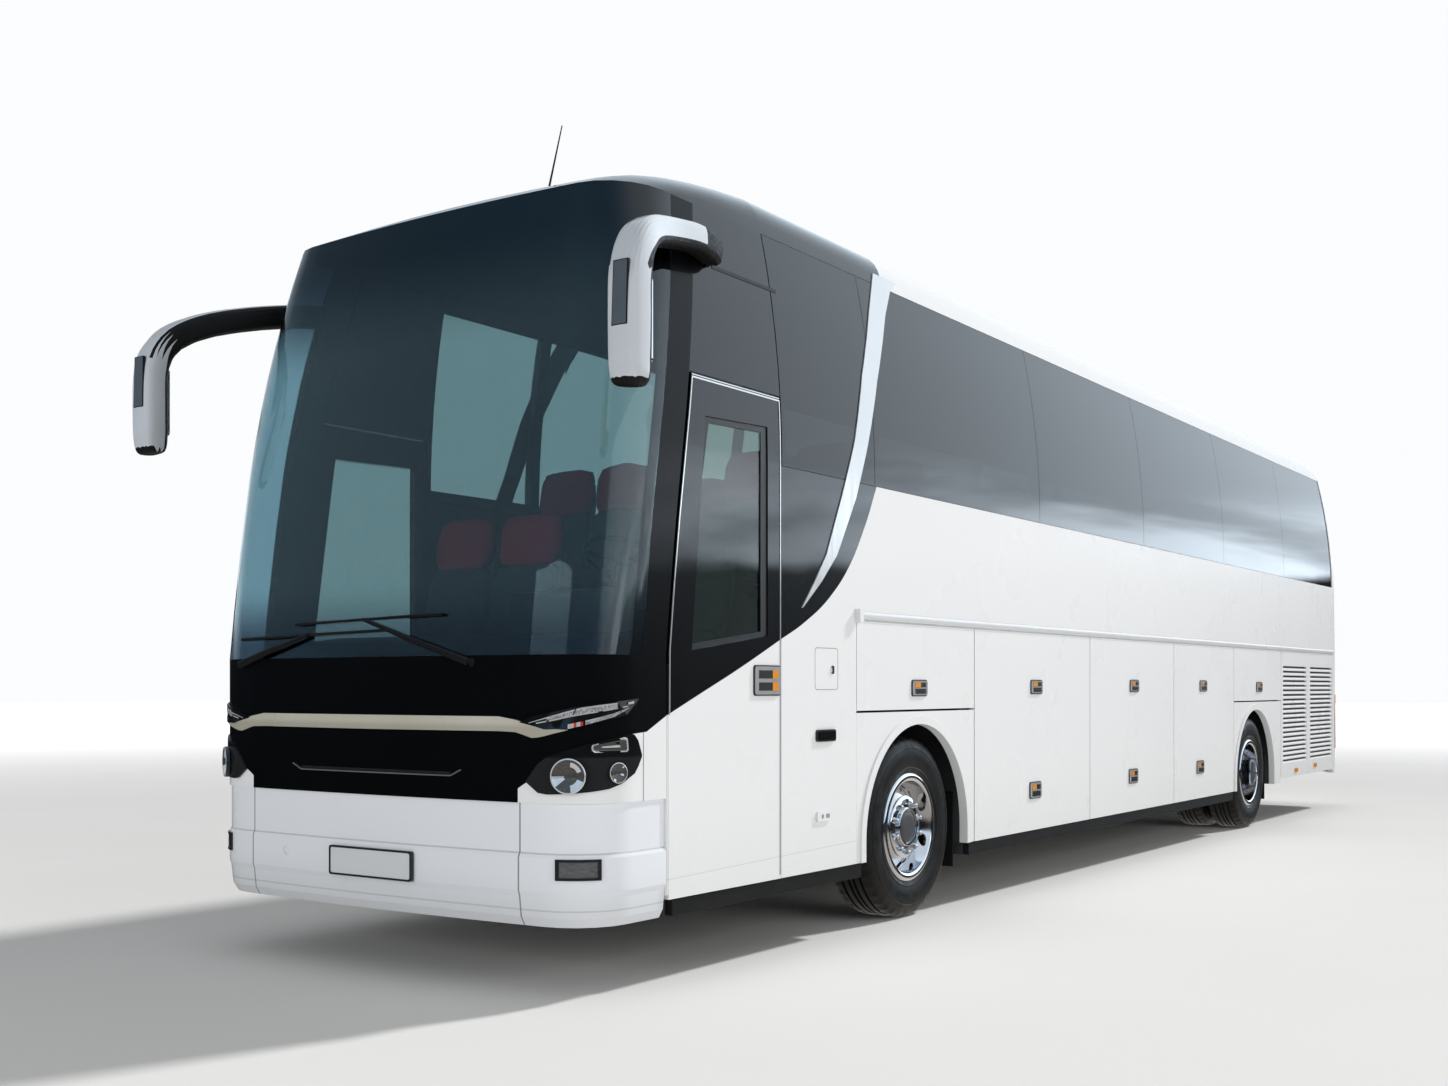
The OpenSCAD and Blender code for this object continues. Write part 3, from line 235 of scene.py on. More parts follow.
white_gloss = 0.03
white_paint, tree, shader = lacquer("white_lacquer", white, white_gloss)
tone = blended(tree, cloud(tree, 0.4, 1.0), (0.785, 0.79, 0.795), (0.81, 0.815, 0.82))
tree.links.new(dusted(tree, place(tree), tone), shader.inputs["Base Color"])

black_paint, tree, shader = lacquer("black_lacquer", black, 0.75, 0.0016)
painted(tree, shader, cloud(tree, 2.0), black, (0.004, 0.0042, 0.005))


def swept(name, dark_gloss):
    """White below the sweep and black above it, the black with its own gloss; the pressed line is a painted
    grey shadow line.
    """
    material, tree, shader = lacquer(name, white, white_gloss)
    xyz = place(tree)
    behind, top = sweep[-1]
    edge = tree.nodes.new("ShaderNodeFloatCurve")
    curve = edge.mapping.curves[0]
    curve.points[0].location = (0, sweep[0][1] / top)
    curve.points[-1].location = (1, 1)
    for back, height in sweep[1:-1]:
        curve.points.new(back / behind, height / top)
    for point in curve.points:
        point.handle_type = "AUTO" if point.location.x > 0.25 else "VECTOR"
    edge.mapping.update()
    back = reckon(tree, "SUBTRACT", xyz["Y"], nose_y)
    tree.links.new(reckon(tree, "DIVIDE", back, behind), edge.inputs["Value"])
    over = reckon(tree, "SUBTRACT", reckon(tree, "DIVIDE", xyz["Z"], top), edge.outputs[0])
    # Painted shadow: a thin grey line follows the pressed crease
    climb = reckon(tree, "ADD", reckon(tree, "MULTIPLY", back, press_climb), press_foot)
    pressed = reckon(tree, "SUBTRACT", xyz["Z"], climb)
    crease = between(tree, reckon(tree, "ABSOLUTE", pressed, 0.0), 0.001, 0.003, 0.3, 0.0)
    fade = between(tree, back, press_end - 0.01, press_end + 0.01, 1.0, 0.0)
    share = reckon(tree, "MULTIPLY", crease, fade)
    light = blended(tree, share, dusted(tree, xyz, white), (0.3, 0.305, 0.31))
    light = seamed(tree, light, reckon(tree, "SUBTRACT", back, lamp_seam), 0.005)
    dark = between(tree, over, -0.0004, 0.0004, 0.0, 1.0)
    painted(tree, shader, dark, light, black)
    tree.links.new(between(tree, dark, 0.0, 1.0, white_gloss, dark_gloss), shader.inputs["Coat Weight"])
    return material


two_tone = swept("two_tone_lacquer", 0.8)
corner_tone = swept("corner_lacquer", 0.16)

bumper_paint, tree, shader = lacquer("bumper_lacquer", white, white_gloss)
bumper_seam_x = 0.885
xyz = place(tree)
apart = reckon(tree, "SUBTRACT", reckon(tree, "ABSOLUTE", xyz["X"], 0.0), bumper_seam_x)
# Painted shade: the bumper turns darker grey towards its foot, where its face turns down
foot_shade = between(tree, xyz["Z"], 0.30, 0.56, 0.35, 0.0)
lined = seamed(tree, blended(tree, foot_shade, (0.775, 0.80, 0.835), (0.46, 0.46, 0.46)), apart, 0.006)
# Shadow lines across the bumper, each with its height and depth
for height, depth in ((0.618, 0.4), (0.372, 0.3), (0.838, 0.9)):
    near = reckon(tree, "ABSOLUTE", reckon(tree, "SUBTRACT", xyz["Z"], height), 0.0)
    lined = blended(tree, between(tree, near, 0.002, 0.005, depth, 0.0), lined, (0.2, 0.205, 0.215))
tree.links.new(lined, shader.inputs["Base Color"])

mask_paint, tree, shader = lacquer("mask_lacquer", black, 0.16)
painted(tree, shader, cloud(tree, 2.0), (0.0025, 0.0027, 0.003), black)

lining = mottled("grey_lining", (0.045, 0.047, 0.05), (0.06, 0.062, 0.066), 40.0, 0.8)

roof_paint, tree, shader = lacquer("roof_lacquer", white, white_gloss)
field_end = nose_y + 2.80
ahead = between(tree, place(tree)["Y"], field_end - 0.002, field_end + 0.002, 1.0, 0.0)
painted(tree, shader, ahead, white, black)
tree.links.new(between(tree, ahead, 0.0, 1.0, white_gloss, 0.75), shader.inputs["Coat Weight"])


def made(name, bm, materials, body="root"):
    """Ends a bmesh as a piece at the origin that rides on a body."""
    mesh = bpy.data.meshes.new(name)
    bm.to_mesh(mesh)
    bm.free()
    for material in materials if isinstance(materials, list) else [materials]:
        mesh.materials.append(material)
    piece = bpy.data.objects.new(name, mesh)
    bpy.context.scene.collection.objects.link(piece)
    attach(piece, body)
    return piece


def panel_mesh(node, turn=32, crease=90):
    """A merged copy of a CAD node's mesh, sharp past turn degrees, or past crease on level edges."""
    bm = bmesh.new()
    bm.from_mesh(nodes[node].data)
    bmesh.ops.remove_doubles(bm, verts=bm.verts, dist=0.00005)
    bmesh.ops.dissolve_limit(bm, angle_limit=radians(0.3), verts=bm.verts, edges=bm.edges)
    for face in bm.faces:
        face.smooth = True
    for line in bm.edges:
        level = abs(line.verts[0].co.z - line.verts[1].co.z) < 0.02 * line.calc_length()
        limit = radians(min(turn, crease) if level else turn)
        line.smooth = line.is_manifold and line.calc_face_angle(pi) < limit
    return bm


body_of = {n: body for body, members in frame["record"]["behaviour"]["bodies"].items() for n in members}


def looks_in(face):
    """Whether a face looks across towards the coach's middle."""
    x = face.calc_center_median().x
    return face.normal.x * x < -0.5 * abs(x)


def inward(face):
    """The lining goes on faces that look into the saloon."""
    ceiling = face.normal.z < -0.5 and face.calc_center_median().z > 3.4
    return 1 if ceiling or looks_in(face) else 0


def dressed(node, materials, soften=0.0, turn=32, choose=None, crease=90):
    """A smooth copy that stands for a CAD node, its sharp edges rounded by soften metres."""
    bm = panel_mesh(node, turn, crease)
    if soften:
        sharp = [line for line in bm.edges if not line.smooth and line.is_manifold]
        bmesh.ops.bevel(bm, geom=sharp, offset=soften, segments=2, profile=0.5, affect="EDGES", material=-1,
                        clamp_overlap=True)
        for face in bm.faces:
            face.smooth = True
        for line in bm.edges:
            line.smooth = line.is_manifold and line.calc_face_angle(pi) < radians(55)
    if choose:
        for face in bm.faces:
            face.material_index = choose(face)
    piece = made(node + "_panel", bm, materials, body_of[node])
    weighted = piece.modifiers.new("flat_faces_stay_flat", "WEIGHTED_NORMAL")
    weighted.keep_sharp = True
    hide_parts(node)
    return piece


edge_radius = 0.003
for name in ["side_lid_left", "side_lid_right", "flap_front_left", "flap_front_right", "flap_rear_left",
             "flap_rear_right", "luggage_door_left_1", "luggage_door_left_2", "luggage_door_left_3",
             "luggage_door_right_1", "luggage_door_right_2", "arch_panels", "engine_lid"]:
    dressed(name, white_paint, edge_radius)
for name in ["waist_panels", "driver_door", "plug_doors"]:
    dressed(name, [two_tone, lining], 0.002, choose=inward)
dressed("front_corners", [corner_tone, lining], choose=inward)
dressed("rear_cap", [white_paint, lining], choose=inward)
dressed("rear_wall", [white_paint, lining], choose=inward)
dressed("front_bumper", bumper_paint, turn=40, crease=8)
dressed("front_mask", mask_paint)
dressed("front_cap", [black_paint, lining], choose=inward)
dressed("window_frames", [black_paint, lining], choose=inward)
dressed("roof", [roof_paint, lining], choose=inward)
dressed("roof_hatches", white_paint, 0.008)


# Glass
# The windscreen is one bowed sheet of blue-green laminated glass, darker along its top, and darkened at its
# foot with painted shade.
# The left and rear panes are grey privacy glass, bonded on; those of the door and the right are clearer.
def tinted(name, color):
    """Clear glass of one tint, with a very faint float-line wave; returns it, its tree and its shader."""
    material, tree, shader = finish(name, color, 0.0)
    shader.inputs["Transmission Weight"].default_value = 1.0
    shader.inputs["IOR"].default_value = 1.5
    painted(tree, shader, cloud(tree, 1.2), color, [c * 0.92 for c in color])
    raised(tree, shader, cloud(tree, 2.0, 1.0), 0.0003)
    return material, tree, shader


screen_tint = (0.36, 0.52, 0.58)
screen_glass, tree, shader = tinted("blue_green_screen", screen_tint)
shader.inputs["Specular IOR Level"].default_value = 0.15
up = place(tree)["Z"]
body_tint = blended(tree, between(tree, up, 2.9, 3.5, 0.0, 1.0), screen_tint, (0.04, 0.07, 0.09))
# Painted shade: the glass darkens towards its foot, for the dashboard in shadow behind it
painted(tree, shader, between(tree, up, 1.5, 1.85, 1.0, 0.0), body_tint, (0.12, 0.17, 0.22))
privacy_glass, tree, shader = tinted("grey_privacy_glass", (0.04, 0.044, 0.048))
clear_glass, tree, shader = tinted("clear_door_glass", (0.33, 0.44, 0.42))
dressed("windscreen", screen_glass)


def pane(face):
    """The panes on the right are lighter, so that daylight shows through the windscreen."""
    return 1 if face.calc_center_median().x < -0.6 else 0


dressed("window_glass", [privacy_glass, clear_glass], choose=pane)
dressed("driver_door_glass", clear_glass)


# Bright trim
# The gold bar is brushed and lacquered aluminium, screwed to the mask from behind.
# The belt rail is an anodised extrusion, and the strip on each side is polished stainless steel, bonded on.
gold, tree, shader = finish("champagne_gold", (0.66, 0.61, 0.50), 0.25, 0.4)
uneven(tree, shader, cloud(tree, 2.0, 1.0), 0.22, 0.32)
# Painted reflection: soft upright bands of light along the bar, and its lower part painted darker
lower = between(tree, place(tree)["Z"], 1.155, 1.185, 1.0, 0.0)
painted_sheen = blended(tree, cloud(tree, 2.2, 1.0, (1, 0, 0)), (0.74, 0.68, 0.54), (0.95, 0.90, 0.78))
painted(tree, shader, reckon(tree, "MULTIPLY", lower, 0.45), painted_sheen, (0.42, 0.39, 0.30))
shader.inputs["Coat Weight"].default_value = 0.3
dressed("gold_bar", gold, 0.003)
rail_metal, tree, shader = finish("anodised_rail", (0.70, 0.705, 0.71), 0.35, 0.15)
uneven(tree, shader, cloud(tree, 25.0, 3.0, (1, 0.02, 20)), 0.22, 0.4)
painted(tree, shader, cloud(tree, 6.0), (0.70, 0.71, 0.72), (0.76, 0.77, 0.78))
dressed("belt_rails", rail_metal, 0.002)
strip_metal, tree, shader = finish("polished_strip", (0.86, 0.87, 0.88), 0.2, 0.4)
uneven(tree, shader, cloud(tree, 18.0, 3.0, (1, 1, 0.05)), 0.12, 0.24)
painted(tree, shader, cloud(tree, 3.0), (0.58, 0.595, 0.61), (0.66, 0.67, 0.68))
dressed("side_strips", strip_metal, 0.002)


# Lamps
# Each headlamp is a smoked cover with a reflector bowl, a framed lamp and a smaller bowl outside.
# A daylight lamp with silver blades lies over it; fog lamps sit in the bumper, red lamps in the tail.
half_width = 1.275
front_r, corner_r, corner_x = 14.0, 0.3, 0.975
corner_back = front_r - ((front_r - corner_r) ** 2 - corner_x ** 2) ** 0.5
corner_turn = 4.0805
screen_foot, window_foot, lean_r = 1.475, 2.44, 5.6


def side_x(z):
    """Half the width of the body at a height."""
    if z <= window_foot:
        return half_width
    return half_width - lean_r + (lean_r ** 2 - (z - window_foot) ** 2) ** 0.5


def leaning(z):
    """How far the nose has leaned back at a height."""
    h = max(0.0, z - screen_foot)
    return 0.10 * h + 0.035 * h * h


def nose_at(t, z, proud=0.0):
    """A point over the nose: t runs 0 to 1 over the front, to 2 round the corner and to 3 at the seam."""
    side, t = (1 if t >= 0 else -1), abs(t)
    if t <= 1:
        turn = radians(corner_turn * t)
        x, back = (front_r + proud) * sin(turn), front_r - (front_r + proud) * cos(turn)
    elif t <= 2:
        turn = radians(corner_turn + (90 - corner_turn) * (t - 1))
        x, back = corner_x + (corner_r + proud) * sin(turn), corner_back - (corner_r + proud) * cos(turn)
    else:
        x, back = corner_x + corner_r + proud, corner_back + (seam_back - corner_back) * (t - 2)
    return Vector((side * x * side_x(z) / half_width, nose_y + back + leaning(z), z))


def nose_side(side, t, z, proud):
    """A point over one side of the nose."""
    return nose_at(side * t, z, proud)


def ribbon(bm, at, low, high, inner, outer, index=0):
    """A closed strip between two lines of surface points, from one height over the surface to another."""
    rows = [[bm.verts.new(at(*p, d)) for p in pair for d in (outer, inner)] for pair in zip(low, high)]
    for a, b in zip(rows, rows[1:]):
        for corners in ((a[0], b[0], b[2], a[2]), (a[1], a[3], b[3], b[1]), (a[0], a[1], b[1], b[0]),
                        (a[2], b[2], b[3], a[3])):
            bm.faces.new(corners).material_index = index
    for end in (rows[0], rows[-1]):
        bm.faces.new((end[0], end[2], end[3], end[1])).material_index = index


def band(bm, at, columns, low, high, inner, outer, index=0):
    """A closed strip between two heights, over a row of columns."""
    ribbon(bm, at, [(c, low) for c in columns], [(c, high) for c in columns], inner, outer, index)


def slab(bm, at, outline, inner, outer, index=0):
    """A closed flat piece over an outline of surface points."""
    loops = [[bm.verts.new(at(*p, d)) for p in outline] for d in (inner, outer)]
    for loop in loops:
        bm.faces.new(loop).material_index = index
    for k in range(len(outline)):
        j = (k + 1) % len(outline)
        bm.faces.new((loops[0][k], loops[0][j], loops[1][j], loops[1][k])).material_index = index


def lathe(bm, profile, steps, matrix, index=0, closed=False):
    """A turned shape from a profile of (radius, height); radius 0 closes it at the axis."""
    rings = []
    for radius, height in profile:
        turns = [2 * pi * k / steps for k in range(steps if radius > 0 else 1)]
        points = [Vector((radius * cos(a), radius * sin(a), height)) for a in turns]
        rings.append([bm.verts.new(matrix @ point) for point in points])
    pairs = list(zip(rings, rings[1:])) + ([(rings[-1], rings[0])] if closed else [])
    for first, second in pairs:
        for k in range(steps):
            j = (k + 1) % steps
            corners = [row[m % len(row)] for row, m in ((first, k), (first, j), (second, j), (second, k))]
            face = bm.faces.new(list(dict.fromkeys(corners)))
            face.smooth = True
            face.material_index = index


def nose_out(t, z):
    """The way the nose faces at a point."""
    return (nose_at(t, z, 0.1) - nose_at(t, z, 0.0)).normalized()


def tidied(bm):
    """Merges doubles and turns every face outwards."""
    bmesh.ops.remove_doubles(bm, verts=bm.verts, dist=0.00002)
    bmesh.ops.recalc_face_normals(bm, faces=bm.faces)
    return bm


smoked, tree, shader = finish("smoked_lamp_cover", (0.012, 0.0125, 0.014), 0.12)
upper = between(tree, place(tree)["Z"], 1.025, 1.04, 0.0, 1.0)
painted(tree, shader, upper, (0.02, 0.021, 0.023), (0.007, 0.0072, 0.008))
uneven(tree, shader, cloud(tree, 30.0), 0.08, 0.16)
fog_glass, tree, shader = finish("fog_lamp_glass", (0.1, 0.105, 0.11), 0.15)
painted(tree, shader, cloud(tree, 30.0, 2.0, (1, 1, 6)), (0.05, 0.052, 0.055), (0.17, 0.175, 0.18))
tail_red, tree, shader = finish("tail_lamp_red", (0.35, 0.008, 0.008), 0.12)
share = between(tree, place(tree)["Z"], 1.039, 1.041, 0.0, 1.0)
red = blended(tree, cloud(tree, 90.0, 1.0), (0.30, 0.006, 0.006), (0.42, 0.012, 0.01))
painted(tree, shader, share, red, (0.62, 0.22, 0.02))
shader.inputs["Coat Weight"].default_value = 1.0


def lamp_part(face):
    """Fog lamps and tail lamps by place, the rest smoked covers."""
    middle = face.calc_center_median()
    return 2 if middle.y > 0 else 1 if middle.z < 0.7 else 0


dressed("lamps", [smoked, fog_glass, tail_red], choose=lamp_part)

# Painted light: a bright silver for the bowls' highlights, also used for the silver blades and lamp frames,
# and a dark one for the bowls' painted shade
silver_and_highlight = mottled("silver_and_painted_highlight", (0.74, 0.77, 0.79), (0.90, 0.91, 0.92), 25.0, (0.08, 0.2, 60.0), 0.5)
shaded, tree, shader = finish("shaded_reflector", (0.07, 0.07, 0.068), 0.15, 0.3)
painted(tree, shader, cloud(tree, 90.0, 2.0, (1, 1, 5)), (0.03, 0.03, 0.03), (0.16, 0.155, 0.145))
ribbed, tree, shader = finish("ribbed_blade", (0.3, 0.31, 0.32), 0.2)
ribs = between(tree, cloud(tree, 120.0, 2.0, (3, 3, 1)), 0.4, 0.6, 0.0, 1.0)
painted(tree, shader, ribs, (0.10, 0.105, 0.11), (0.48, 0.49, 0.50))
marker_red = mottled("marker_red", (0.42, 0.025, 0.02), (0.6, 0.04, 0.03), 60.0, 0.25)
lamp_finishes = [silver_and_highlight, shaded, smoked, ribbed, marker_red]
# Bowls from the middle out: shaded floor, wall, chrome lip and the outer wall down to the cover
big_bowl = [(0.0, 0.001), (0.020, 0.002), (0.040, 0.007), (0.060, 0.015), (0.069, 0.019), (0.071, 0.0205),
            (0.075, 0.0205), (0.077, 0.018), (0.078, 0.0)]
small_bowl = [(0.0, 0.001), (0.016, 0.002), (0.030, 0.007), (0.040, 0.011), (0.042, 0.012), (0.045, 0.011),
              (0.046, 0.0)]
bowl_steps = 36
lip_from, lip_to = 0.9, 0.985


def bowl(bm, profile, matrix, highlight_sectors):
    """A reflector bowl; the last argument lists the sectors, as angles and radii, painted as highlights, and
    the rest of the bowl is in painted shade.
    """
    bowl_mesh = bmesh.new()
    lathe(bowl_mesh, profile, bowl_steps, Matrix.Identity(4), 1)
    lip = max(r for r, h in profile)
    for face in bowl_mesh.faces:
        middle = face.calc_center_median()
        radius = (middle.x ** 2 + middle.y ** 2) ** 0.5 / lip
        angle = degrees(atan2(middle.y, middle.x)) % 360
        highlighted = any(a <= angle <= b and low <= radius <= high for a, b, low, high in highlight_sectors)
        if highlighted or lip_from < radius < lip_to:
            face.material_index = 0
        elif radius >= lip_to:
            face.material_index = 2
    bowl_mesh.transform(matrix)
    spare = bpy.data.meshes.new("bowl")
    bowl_mesh.to_mesh(spare)
    bowl_mesh.free()
    bm.from_mesh(spare)
    bpy.data.meshes.remove(spare)


def upright(at, towards, side):
    """The matrix that faces a bowl along a direction, x away from the coach's middle and y up."""
    out = Vector(towards).normalized()
    across = Vector((0, 0, 1)).cross(out).normalized() * (1 if side > 0 else -1)
    up = out.cross(across) * (1 if side > 0 else -1)
    turn = Matrix((across, up, out)).transposed().to_4x4()
    return Matrix.Translation(at) @ turn


bm = bmesh.new()
cover = 0.0095
# Each bowl: profile, place over the nose and the sectors painted as highlights
bowl_rows = [(big_bowl, 1.312, 0.955, [(180, 216, 0.2, 0.9), (282, 338, 0.55, 0.9), (20, 75, 0.62, 0.72)]),
             (small_bowl, 1.78, 0.966, [(330, 350, 0.3, 0.7), (230, 250, 0.6, 0.85), (40, 55, 0.6, 0.85)])]
leaf_low = [(0.9, 1.183), (0.98, 1.167), (1.075, 1.154), (1.3, 1.153), (1.6, 1.186), (1.885, 1.215),
            (2.1, 1.262)]
leaf_high = [(0.905, 1.184), (0.97, 1.207), (1.17, 1.229), (1.385, 1.25), (1.6, 1.263), (1.77, 1.272),
             (2.1, 1.284)]
# Each blade is two lines of points with its finish
blades = [([(0.955, 1.179), (1.105, 1.201), (1.275, 1.222), (1.43, 1.240), (1.6, 1.252), (1.775, 1.261)],
           [(0.955, 1.182), (1.105, 1.206), (1.275, 1.228), (1.43, 1.247), (1.6, 1.258), (1.775, 1.267)], 0),
          ([(0.995, 1.177), (1.17, 1.191), (1.345, 1.209), (1.515, 1.222), (1.69, 1.235), (1.895, 1.250)],
           [(0.995, 1.182), (1.17, 1.197), (1.345, 1.215), (1.515, 1.228), (1.69, 1.241), (1.895, 1.254)], 0),
          ([(1.105, 1.194), (1.275, 1.206), (1.43, 1.219), (1.6, 1.232), (1.775, 1.246)],
           [(1.105, 1.201), (1.275, 1.222), (1.43, 1.240), (1.6, 1.252), (1.775, 1.261)], 3),
          ([(1.465, 1.173), (1.6, 1.190), (1.74, 1.207), (1.895, 1.239)],
           [(1.465, 1.191), (1.6, 1.204), (1.74, 1.220), (1.895, 1.243)], 3),
          ([(1.47, 1.187), (1.6, 1.200), (1.74, 1.216), (1.895, 1.241)],
           [(1.465, 1.192), (1.6, 1.206), (1.74, 1.222), (1.91, 1.246)], 0),
          ([(1.305, 1.156), (1.36, 1.162)], [(1.305, 1.176), (1.36, 1.181)], 0),
          ([(1.36, 1.162), (1.385, 1.165)], [(1.36, 1.181), (1.385, 1.184)], 4),
          ([(1.385, 1.165), (1.42, 1.168)], [(1.385, 1.184), (1.42, 1.187)], 0),
          ([(1.42, 1.168), (1.445, 1.171)], [(1.42, 1.187), (1.445, 1.189)], 4),
          ([(1.90, 1.259), (1.975, 1.264)], [(1.90, 1.268), (1.975, 1.274)], 0)]
framed = [(1.52, 1.078), (1.53, 1.088), (1.86, 1.119), (1.89, 1.112), (1.9, 1.063), (1.88, 1.055),
          (1.55, 1.055), (1.525, 1.063)]
framed_middle = [sum(p[axis] for p in framed) / len(framed) for axis in (0, 1)]
# The framed lamp's layers: share of its outline, height over the cover and finish
framed_layers = [((1.0, 1.0), 0.006, 0), ((0.90, 0.74), 0.0066, 1), ((0.5, 0.16), 0.0072, 0)]
for side in (1, -1):
    front_at = partial(nose_side, side)
    for profile, t, z, highlight_sectors in bowl_rows:
        bowl(bm, profile, upright(front_at(t, z, cover), nose_out(side * t, z), side), highlight_sectors)
    ribbon(bm, front_at, leaf_low, leaf_high, 0.004, 0.0132, 2)
    for low, high, index in blades:
        ribbon(bm, front_at, low, high, 0.012, 0.0142, index)
    for share, proud, index in framed_layers:
        outline = [[m + s * (c - m) for m, s, c in zip(framed_middle, share, p)] for p in framed]
        slab(bm, front_at, outline, cover, cover + proud, index)
made("lamp_bowls", tidied(bm), lamp_finishes)

# Black frames of the fog lamps
black_trim = mottled("satin_black_trim", (0.010, 0.010, 0.011), (0.018, 0.018, 0.019),
                     15.0, (0.28, 0.42, 70.0))
fog_columns = [1.19, 1.3, 1.4, 1.5, 1.61]
fog_low, fog_high, fog_proud = 0.508, 0.598, 0.0085
bm = bmesh.new()
for side in (1, -1):
    front_at = partial(nose_side, side)
    for low, high in ((fog_low, 0.519), (0.587, fog_high)):
        band(bm, front_at, fog_columns, low, high, 0.0, fog_proud)
    for ends in ((1.18, 1.215), (1.585, 1.62)):
        band(bm, front_at, ends, fog_low, fog_high, 0.0, fog_proud)
made("fog_lamp_frames", tidied(bm), black_trim)


# Number plate
# A blank white plate of pressed aluminium with a black rim, screwed to the bumper.
# It lies in a shallow black holder.
plate_low, plate_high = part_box("number_plate")
sheeting = mottled("plate_sheeting", (0.64, 0.66, 0.68), (0.70, 0.72, 0.74), 300.0, 0.3)
wear(sheeting, ["number_plate"])


def rounded(low, high, radius, steps=4):
    """A rectangle with round corners, as points."""
    corners = [(high[0], high[1], 0), (low[0], high[1], 90), (low[0], low[1], 180), (high[0], low[1], 270)]
    points = []
    for x, z, start in corners:
        inward = (x - radius if x == high[0] else x + radius, z - radius if z == high[1] else z + radius)
        points += [(inward[0] + radius * cos(radians(start + 90 * k / steps)),
                    inward[1] + radius * sin(radians(start + 90 * k / steps))) for k in range(steps + 1)]
    return points


def ring(bm, at, outer_line, inner_line, inner, outer, index=0):
    """A closed frame between two outlines with as many points each."""
    ribbon(bm, at, outer_line + outer_line[:1], inner_line + inner_line[:1], inner, outer, index)


def plate_at(x, z, proud):
    """A point over the plate's face."""
    return Vector((x, plate_low.y - proud, z))


half, foot, head = plate_high.x, plate_low.z, plate_high.z
rim_out, rim_in = 0.004, 0.005
bm = bmesh.new()
ring(bm, plate_at, rounded((-half - rim_out, foot - rim_out), (half + rim_out, head + rim_out), 0.012),
     rounded((-half + rim_in, foot + rim_in), (half - rim_in, head - rim_in), 0.01), -0.015, 0.003)
made("plate_frame", tidied(bm), black_trim)


# Mask slot
# A long air slot in the mask under the gold bar, its lower lip edged with a thin grey moulding whose grey is
# a painted highlight along the lip.
# It is moulded with the mask.
bm = bmesh.new()
columns = [k * 0.1 for k in range(-5, 6)]
band(bm, nose_at, columns, 0.945, 0.957, 0.0, 0.002)
ribbon(bm, nose_at, [(-0.565, 0.966)] + [(t, 0.937) for t in columns] + [(0.565, 0.966)],
       [(-0.56, 0.970)] + [(t, 0.943) for t in columns] + [(0.56, 0.970)], 0.0, 0.006, 1)
# Painted highlight: the moulding's grey stands for the light along the lip
lip_moulding_highlight = mottled("grey_moulding_painted_highlight", (0.10, 0.11, 0.12), (0.15, 0.16, 0.17), 20.0, 0.3)
made("mask_slot", tidied(bm), [black_trim, lip_moulding_highlight])


# Wipers and aerial
# Wiper arms with rubber blades, on pivots under the windscreen, and a flexible rod on the roof.
# Both are covered in a fine-grained black plastic.
plastic, tree, shader = finish("grained_black_plastic", (0.008, 0.008, 0.0085), 0.5)
shader.inputs["Specular IOR Level"].default_value = 0.2
uneven(tree, shader, cloud(tree, 60.0), 0.42, 0.6)
painted(tree, shader, cloud(tree, 9.0), (0.006, 0.006, 0.0065), (0.011, 0.011, 0.0115))
raised(tree, shader, cloud(tree, 900.0), 0.0002)
dressed("wipers", plastic)
dressed("aerial", plastic)


# Mirrors
# Long arms carry upright mirror heads, with a silver-white shell in front and a black housing behind.
# A grey panel is let into the front of each shell, and the glass faces back.
shell_paint, tree, shader = lacquer("silver_white_lacquer", (0.5, 0.53, 0.57), 0.6)
painted(tree, shader, cloud(tree, 3.0), (0.48, 0.51, 0.55), (0.54, 0.565, 0.60))
arm_line = [(-0.075, 3.02), (0.01, 3.16), (0.19, 3.255), (0.47, 3.33), (0.77, 3.39), (1.2, 3.40)]
head_x, head_y = 1.578, nose_y - 0.075
head_front_y, head_back_y = head_y - 0.0735, head_y + 0.0715
head_foot, head_top, arm_foot = 2.56, 3.08, 0.75
housing_from = -0.075 + 0.035


def mirror_part(face):
    """The shell is in front and on top; the housing is behind, below and round the arm's foot."""
    middle = face.calc_center_median()
    back = middle.y - nose_y
    if back > arm_foot or middle.z < head_foot or looks_in(face) and middle.z > head_top:
        return 1
    if middle.z < head_top:
        return 1 if back > housing_from else 0
    a, b = [(a, b) for a, b in zip(arm_line, arm_line[1:]) if back <= b[0] or b == arm_line[-1]][0]
    height = a[1] + (b[1] - a[1]) * max(0.0, back - a[0]) / (b[0] - a[0])
    return 1 if middle.z < height - 0.03 else 0


mirror_piece = dressed("mirrors", [shell_paint, plastic], choose=mirror_part, turn=170)
rounder = mirror_piece.modifiers.new("rounder", "SUBSURF")
rounder.levels = rounder.render_levels = 2
mirror_piece.modifiers.move(1, 0)
inset = mottled("grey_inset", (0.06, 0.074, 0.09), (0.085, 0.10, 0.118), 12.0, 0.35)
silvering = mottled("mirror_silvering", (0.73, 0.76, 0.78), (0.77, 0.8, 0.82), 2.0, 0.02, 1.0)
bm = bmesh.new()
for side in (1, -1):
    def head_front(x, z, proud):
        """A point over the front of a mirror head."""
        return Vector((side * head_x + x, head_front_y - proud, z))

    def head_back(x, z, proud):
        """A point over the back of a mirror head."""
        return Vector((side * head_x + x, head_back_y + proud, z))

    slab(bm, head_front, [(-0.036, 2.775), (0.042, 2.775), (0.048, 3.035), (-0.026, 3.035)], -0.012, 0.001, 1)
    slab(bm, head_front, [(-0.032, 2.779), (0.038, 2.779), (0.044, 3.031), (-0.022, 3.031)], -0.012, 0.002, 0)
    slab(bm, head_back, rounded((-0.06, 2.64), (0.06, 2.99), 0.02), -0.006, 0.003, 2)
made("mirror_panels", tidied(bm), [inset, plastic, silvering])


